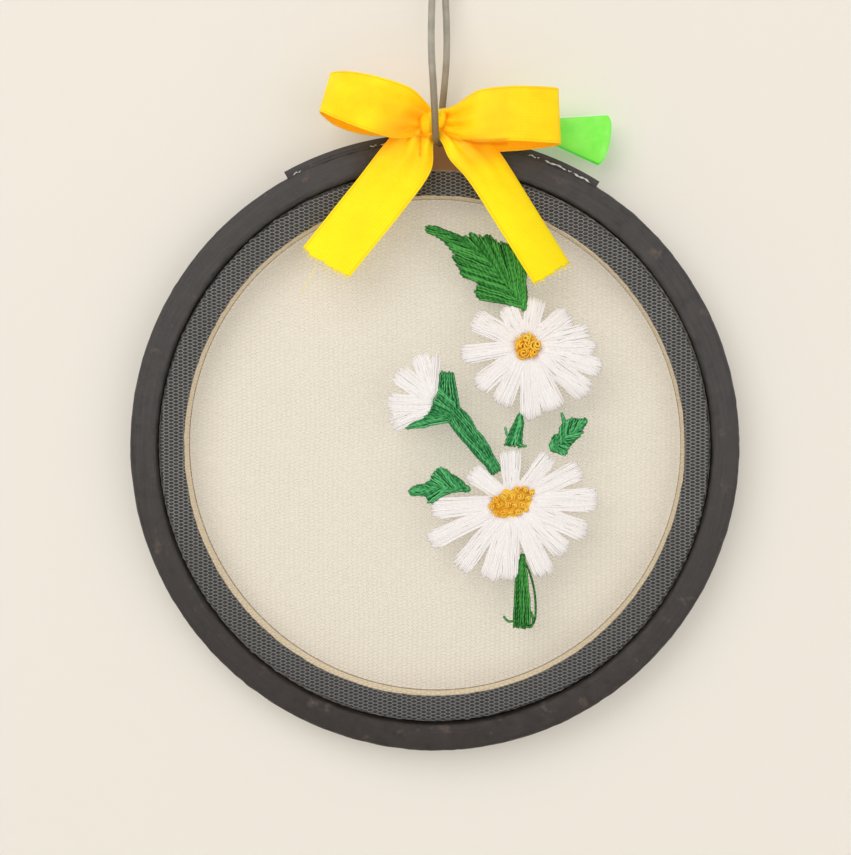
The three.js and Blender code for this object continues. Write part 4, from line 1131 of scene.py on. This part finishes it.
def ribbon_surface(rows, steps, ragged, seed):
    """Ribbon carried along rows of x, y, z, lean, turn, half width, pleat and cup. At share s across, from
    -1 to 1, it lies s x half width along its width's direction, and stands off square to it by
    pleat x cos(3 pi s) + cup x (1 - s squared). A ragged end is pulled in or out by chance, thread by
    thread, over the last part of the ribbon."""
    fine = smooth_rows(rows, steps)
    place = fine[:, :3]
    lean, turn = np.radians(fine[:, 3]), np.radians(fine[:, 4])
    across = np.stack([np.sin(lean) * np.cos(turn), np.sin(turn), np.cos(lean) * np.cos(turn)], -1)
    along = unit(np.gradient(place, axis=0))
    out = unit(np.cross(np.gradient(place, axis=0), across))
    s = np.linspace(-1, 1, RIBBON_COLUMNS)[None]
    half, pleat, cup = (fine[:, k : k + 1] for k in (5, 6, 7))
    off = pleat * np.cos(3 * np.pi * s) + cup * (1 - s**2)
    pull = np.random.RandomState(seed).normal(0, 1, RIBBON_COLUMNS)
    soft = (pull + np.roll(pull, 1) + np.roll(pull, 2) + np.roll(pull, 3)) / 4
    pull = ragged * (0.9 * soft + 0.12 * pull + 0.7 * np.sin(np.linspace(0, 5, RIBBON_COLUMNS)))
    late = np.clip((np.linspace(0, 1, steps) - 0.93) / 0.07, 0, 1)[:, None] ** 1.5
    flat = place[:, None] + (s * half)[..., None] * across[:, None] + off[..., None] * out[:, None]
    return flat + (late * pull)[..., None] * along[:, None]


def deep(points):
    """How much orange shade is painted at each point: 1 less the product of 1 - depth x exp(-(distance /
    reach) squared) over all the deep spots, with distances seen from the front."""
    x, z = ((points - MIDDLE) / MM)[..., 0], ((points - MIDDLE) / MM)[..., 2]
    left = np.ones(x.shape)
    for at_x, at_z, reach, depth in DEEP_SPOTS:
        left = left * (1 - depth * np.exp(-((x - at_x) ** 2 + (z - at_z) ** 2) / reach**2))
    return 1 - left


def creased(points):
    """How much brown shade is painted at each point: exp(-(distance to the nearest crease / 0.4 mm)
    squared), with distances seen from the front. The nearest point of a stretch is at a share of 0 to 1
    along it."""
    place = ((points - MIDDLE) / MM)[..., [0, 2]]
    nearest = np.full(place.shape[:-1], 9.0)
    for line in CREASES:
        for start, end in zip(np.array(line)[:-1], np.array(line)[1:]):
            along = end - start
            share = np.clip((place - start) @ along / (along @ along), 0, 1)
            nearest = np.minimum(nearest, np.linalg.norm(place - start - share[..., None] * along, axis=-1))
    return np.exp(-((nearest / 0.4) ** 2))


def satin_material():
    """Yellow satin: fine ribs across the ribbon with dots between them, and a thread along both edges. A
    brown shade is painted in the tight creases, and an orange shade in the folds and on the inside of the
    loops, which is the part behind the fold that faces forwards. The tails are painted a lighter lemon
    where they hang free, for the light that comes through the cloth there, and a weak orange glow is
    painted over the whole ribbon, so that its shaded parts come out orange."""
    # A weak orange glow over the whole ribbon is painted light: it makes the shaded parts orange, as light
    # bounced between the folds would.
    s = Surface(
        "yellow satin", Roughness=0.45, Specular_IOR_Level=0.15,
        Emission_Strength=0.15, Emission_Color=(1.0, 0.47, 0.006, 1),
    )
    parts = s.split(s.place(uv=True))
    rib = s.math("SINE", s.times(parts[0], 2 * math.pi / 0.00052))
    dot = s.math("SINE", s.times(parts[1], 2 * math.pi / 0.00062))
    height = s.plus(s.times(rib, 0.4), s.times(s.times(rib, dot), 0.6))
    yellow = s.patches(160, (1.0, 0.66, 0.004), (1.0, 0.83, 0.010))["Color"]
    # Painted light: the tails, where they hang free, are made a lighter lemon for the light that comes
    # through them.
    free = s.ramp(s.at(2), MIDDLE[2] + 0.066, MIDDLE[2] + 0.052)
    lit_lemon = s.mix(s.times(free, 0.6), yellow, (1.0, 0.93, 0.008))
    pits = s.times(s.ramp(height, 0.25, 0.95), 0.38)
    dotted = s.mix(pits, lit_lemon, (0.90, 0.52, 0.003))
    share = s.math("ABSOLUTE", s.marked("across"))
    seam = s.times(s.ramp(s.math("ABSOLUTE", s.math("SUBTRACT", share, 0.925)), 0.028, 0.0), 0.6)
    facing = s.split(s.node("ShaderNodeNewGeometry").outputs["Normal"])[1]
    # Painted shade: the inside of each loop, behind its fold and facing forwards, and the marked folds are
    # made orange.
    inside = s.times(s.marked("behind_fold"), s.ramp(facing, 0.1, -0.3))
    orange = s.math("MAXIMUM", s.times(inside, 0.85), s.marked("deep"))
    folded = s.mix(orange, dotted, (1.0, 0.48, 0.012))
    colour = s.mix(seam, folded, (0.86, 0.40, 0.006))
    # Painted shade: brown along the tight creases.
    crease = s.times(s.marked("crease"), 0.7)
    s.join("Base Color", s.mix(crease, colour, (0.70, 0.20, 0.005)))
    s.bump(s.plus(height, s.times(s.ramp(share, 0.93, 0.95), 2.0)), 0.00005, 0.6)
    return s.material


SATIN = satin_material()
# Each stretch of the bow, its rows, steps along it, length in metres, and how ragged its end is. A loop has
# no ragged end, and the part of it behind the fold starts at 0.52 of its length.
stretches = [
    ("bow_left_loop", LEFT_LOOP, 120, 0.054, 0.0), ("bow_right_loop", RIGHT_LOOP, 130, 0.061, 0.0),
    ("bow_left_tail", LEFT_TAIL, 90, 0.040, 0.42), ("bow_right_tail", RIGHT_TAIL, 90, 0.044, 0.22),
]
tail_ends = []
for k, (name, rows, steps, length, ragged) in enumerate(stretches):
    points = from_middle(ribbon_surface(rows, steps, ragged, k))
    piece = skin(name, points[None])
    share = np.linspace(0, 1, steps)
    mark(piece, "behind_fold", np.repeat((share > 0.52) * (ragged == 0), RIBBON_COLUMNS))
    mark(piece, "across", np.tile(np.linspace(-1, 1, RIBBON_COLUMNS), steps))
    mark(piece, "deep", deep(points))
    mark(piece, "crease", creased(points))
    thick = piece.modifiers.new("cloth thickness", "SOLIDIFY")
    thick.thickness = 0.0003
    thick.offset = 0
    finish_piece(piece, "satin", SATIN, *(["bow"] if k == 0 else []))
    if ragged:
        tail_ends.append((points[-1], unit(points[-1] - points[-8])))

frays = []
for end, (places, onward) in enumerate(tail_ends):
    for k in rng.randint(0, RIBBON_COLUMNS, FRAYED_THREADS[end]):
        t = np.linspace(0, 1, 12)[:, None]
        length = (0.25 + 1.5 * rng.uniform() ** 4) * MM
        bend = rng.normal(0, 0.35, 3) * (1, 0.3, 1)
        frays.append(places[k] + length * (t * onward[k] + t**2 * bend))
loose = from_middle([(-26.3, -7.9, 41.6), (-27.6, -7.6, 39.6), (-28.7, -7.2, 37.2), (-30.3, -6.6, 34.9)])
frays.append(smooth_rows(loose, 12))
closed_piece("bow_loose_threads", tubes(np.array(frays), 0.055 * MM, 5), "satin", SATIN)

# The knot is a barrel along x, drawn in at its waist, with wrinkles that wind round it.
knot_angle = round_turn(90)
knot_share = np.linspace(-0.985, 0.985, 81)
body = np.sqrt(1 - np.abs(knot_share) ** 2.6)
waist = 1 - 0.16 * np.exp(-((knot_share - 0.1) / 0.16) ** 2)
wrinkle = np.sin(11 * knot_share[:, None] + 2.6 * np.sin(knot_angle[None] + 0.6))
fold = waist[:, None] * (1 + 0.035 * wrinkle)
knot = np.stack(
    [
        np.broadcast_to(3.6 * knot_share[:, None], fold.shape),
        -6.3 + 3.95 * body[:, None] * fold * np.cos(knot_angle),
        73.6 + 0.55 * np.tanh(2.5 * knot_share)[:, None] + 2.95 * body[:, None] * fold * np.sin(knot_angle),
    ],
    -1,
)
knot_points = from_middle(knot)
bow_knot = closed_piece("bow_knot", knot_points[None], "satin", SATIN)
# A painted orange shade lies in the knot's waist, with the orange shade of the spots.
crease = np.exp(-((knot_share - 0.1) / 0.1) ** 2) * 0.9
mark(bow_knot, "deep", np.maximum(deep(knot_points) * 0.6, crease[:, None]))
mark(bow_knot, "crease", creased(knot_points))


# Stage. A plain pale wall just behind the hoop, seen only from in front, and a plain pale floor far below.
# Between the ring's two ends a brown shade is painted on the wall, for its shade there and the light that
# reaches it from the ribbon.
def stage_plane(name, corners, surface):
    """One flat face that isn't part of the hoop."""
    mesh = bpy.data.meshes.new(name)
    mesh.from_pydata(corners, [], [(0, 1, 2, 3)])
    mesh.materials.append(surface.material)
    add_object(name, mesh)


s = Surface("wall paint", Roughness=0.8, Emission_Strength=0.22)
shade_place = tuple(from_middle((3.0, 5.1, 66.9)))
# Painted shade: a brown patch on the wall, round the place between the ring's two ends.
painted_pocket_shade = s.ramp(s.vector("DISTANCE", s.place(), shade_place)["Value"], 0.0066, 0.0046)
s.join("Base Color", s.mix(painted_pocket_shade, (0.672, 0.64, 0.583), (0.44, 0.235, 0.10)))
s.join("Emission Color", s.mix(painted_pocket_shade, (0.862, 0.82, 0.745), (0.44, 0.235, 0.10)))
clear = s.node("ShaderNodeBsdfTransparent").outputs[0]
seen = s.node("ShaderNodeNewGeometry").outputs["Backfacing"]
shadow = s.node("ShaderNodeLightPath").outputs["Is Shadow Ray"]
s.blend(s.math("MAXIMUM", seen, shadow), clear)
wall_y = outer_box[1].y + 0.0006
stage_plane("wall", [(-1.2, wall_y, -1), (1.2, wall_y, -1), (1.2, wall_y, 1), (-1.2, wall_y, 1)], s)
floor_paint = Surface("floor paint", Roughness=0.8, Base_Color=(0.8, 0.79, 0.77, 1))
stage_plane("floor", [(-2, -2, -0.7), (2, -2, -0.7), (2, 2, -0.7), (-2, 2, -0.7)], floor_paint)

for name, place, size, watts, colour in (
    ("window", (-0.5, -1.05, 0.5), 1.1, 9.2, (1.0, 0.97, 0.93)),
    ("room", (0.8, -1.1, -0.1), 1.2, 4.6, (1.0, 0.98, 0.95)),
    ("back", (0.2, 1.2, 0.5), 1.0, 6, (1.0, 1.0, 1.0)),
):
    lamp = bpy.data.lights.new(name, "AREA")
    lamp.size = size
    lamp.energy = watts
    lamp.color = colour
    holder = add_object(name, lamp)
    holder.location = place
    aim = Vector(MIDDLE) - holder.location
    holder.rotation_euler = aim.to_track_quat("-Z", "Y").to_euler()

world = bpy.data.worlds.new("pale room")
world.use_nodes = True
world.node_tree.nodes["Background"].inputs[0].default_value = (1.0, 0.98, 0.95, 1)
world.node_tree.nodes["Background"].inputs[1].default_value = 0.40
bpy.context.scene.world = world
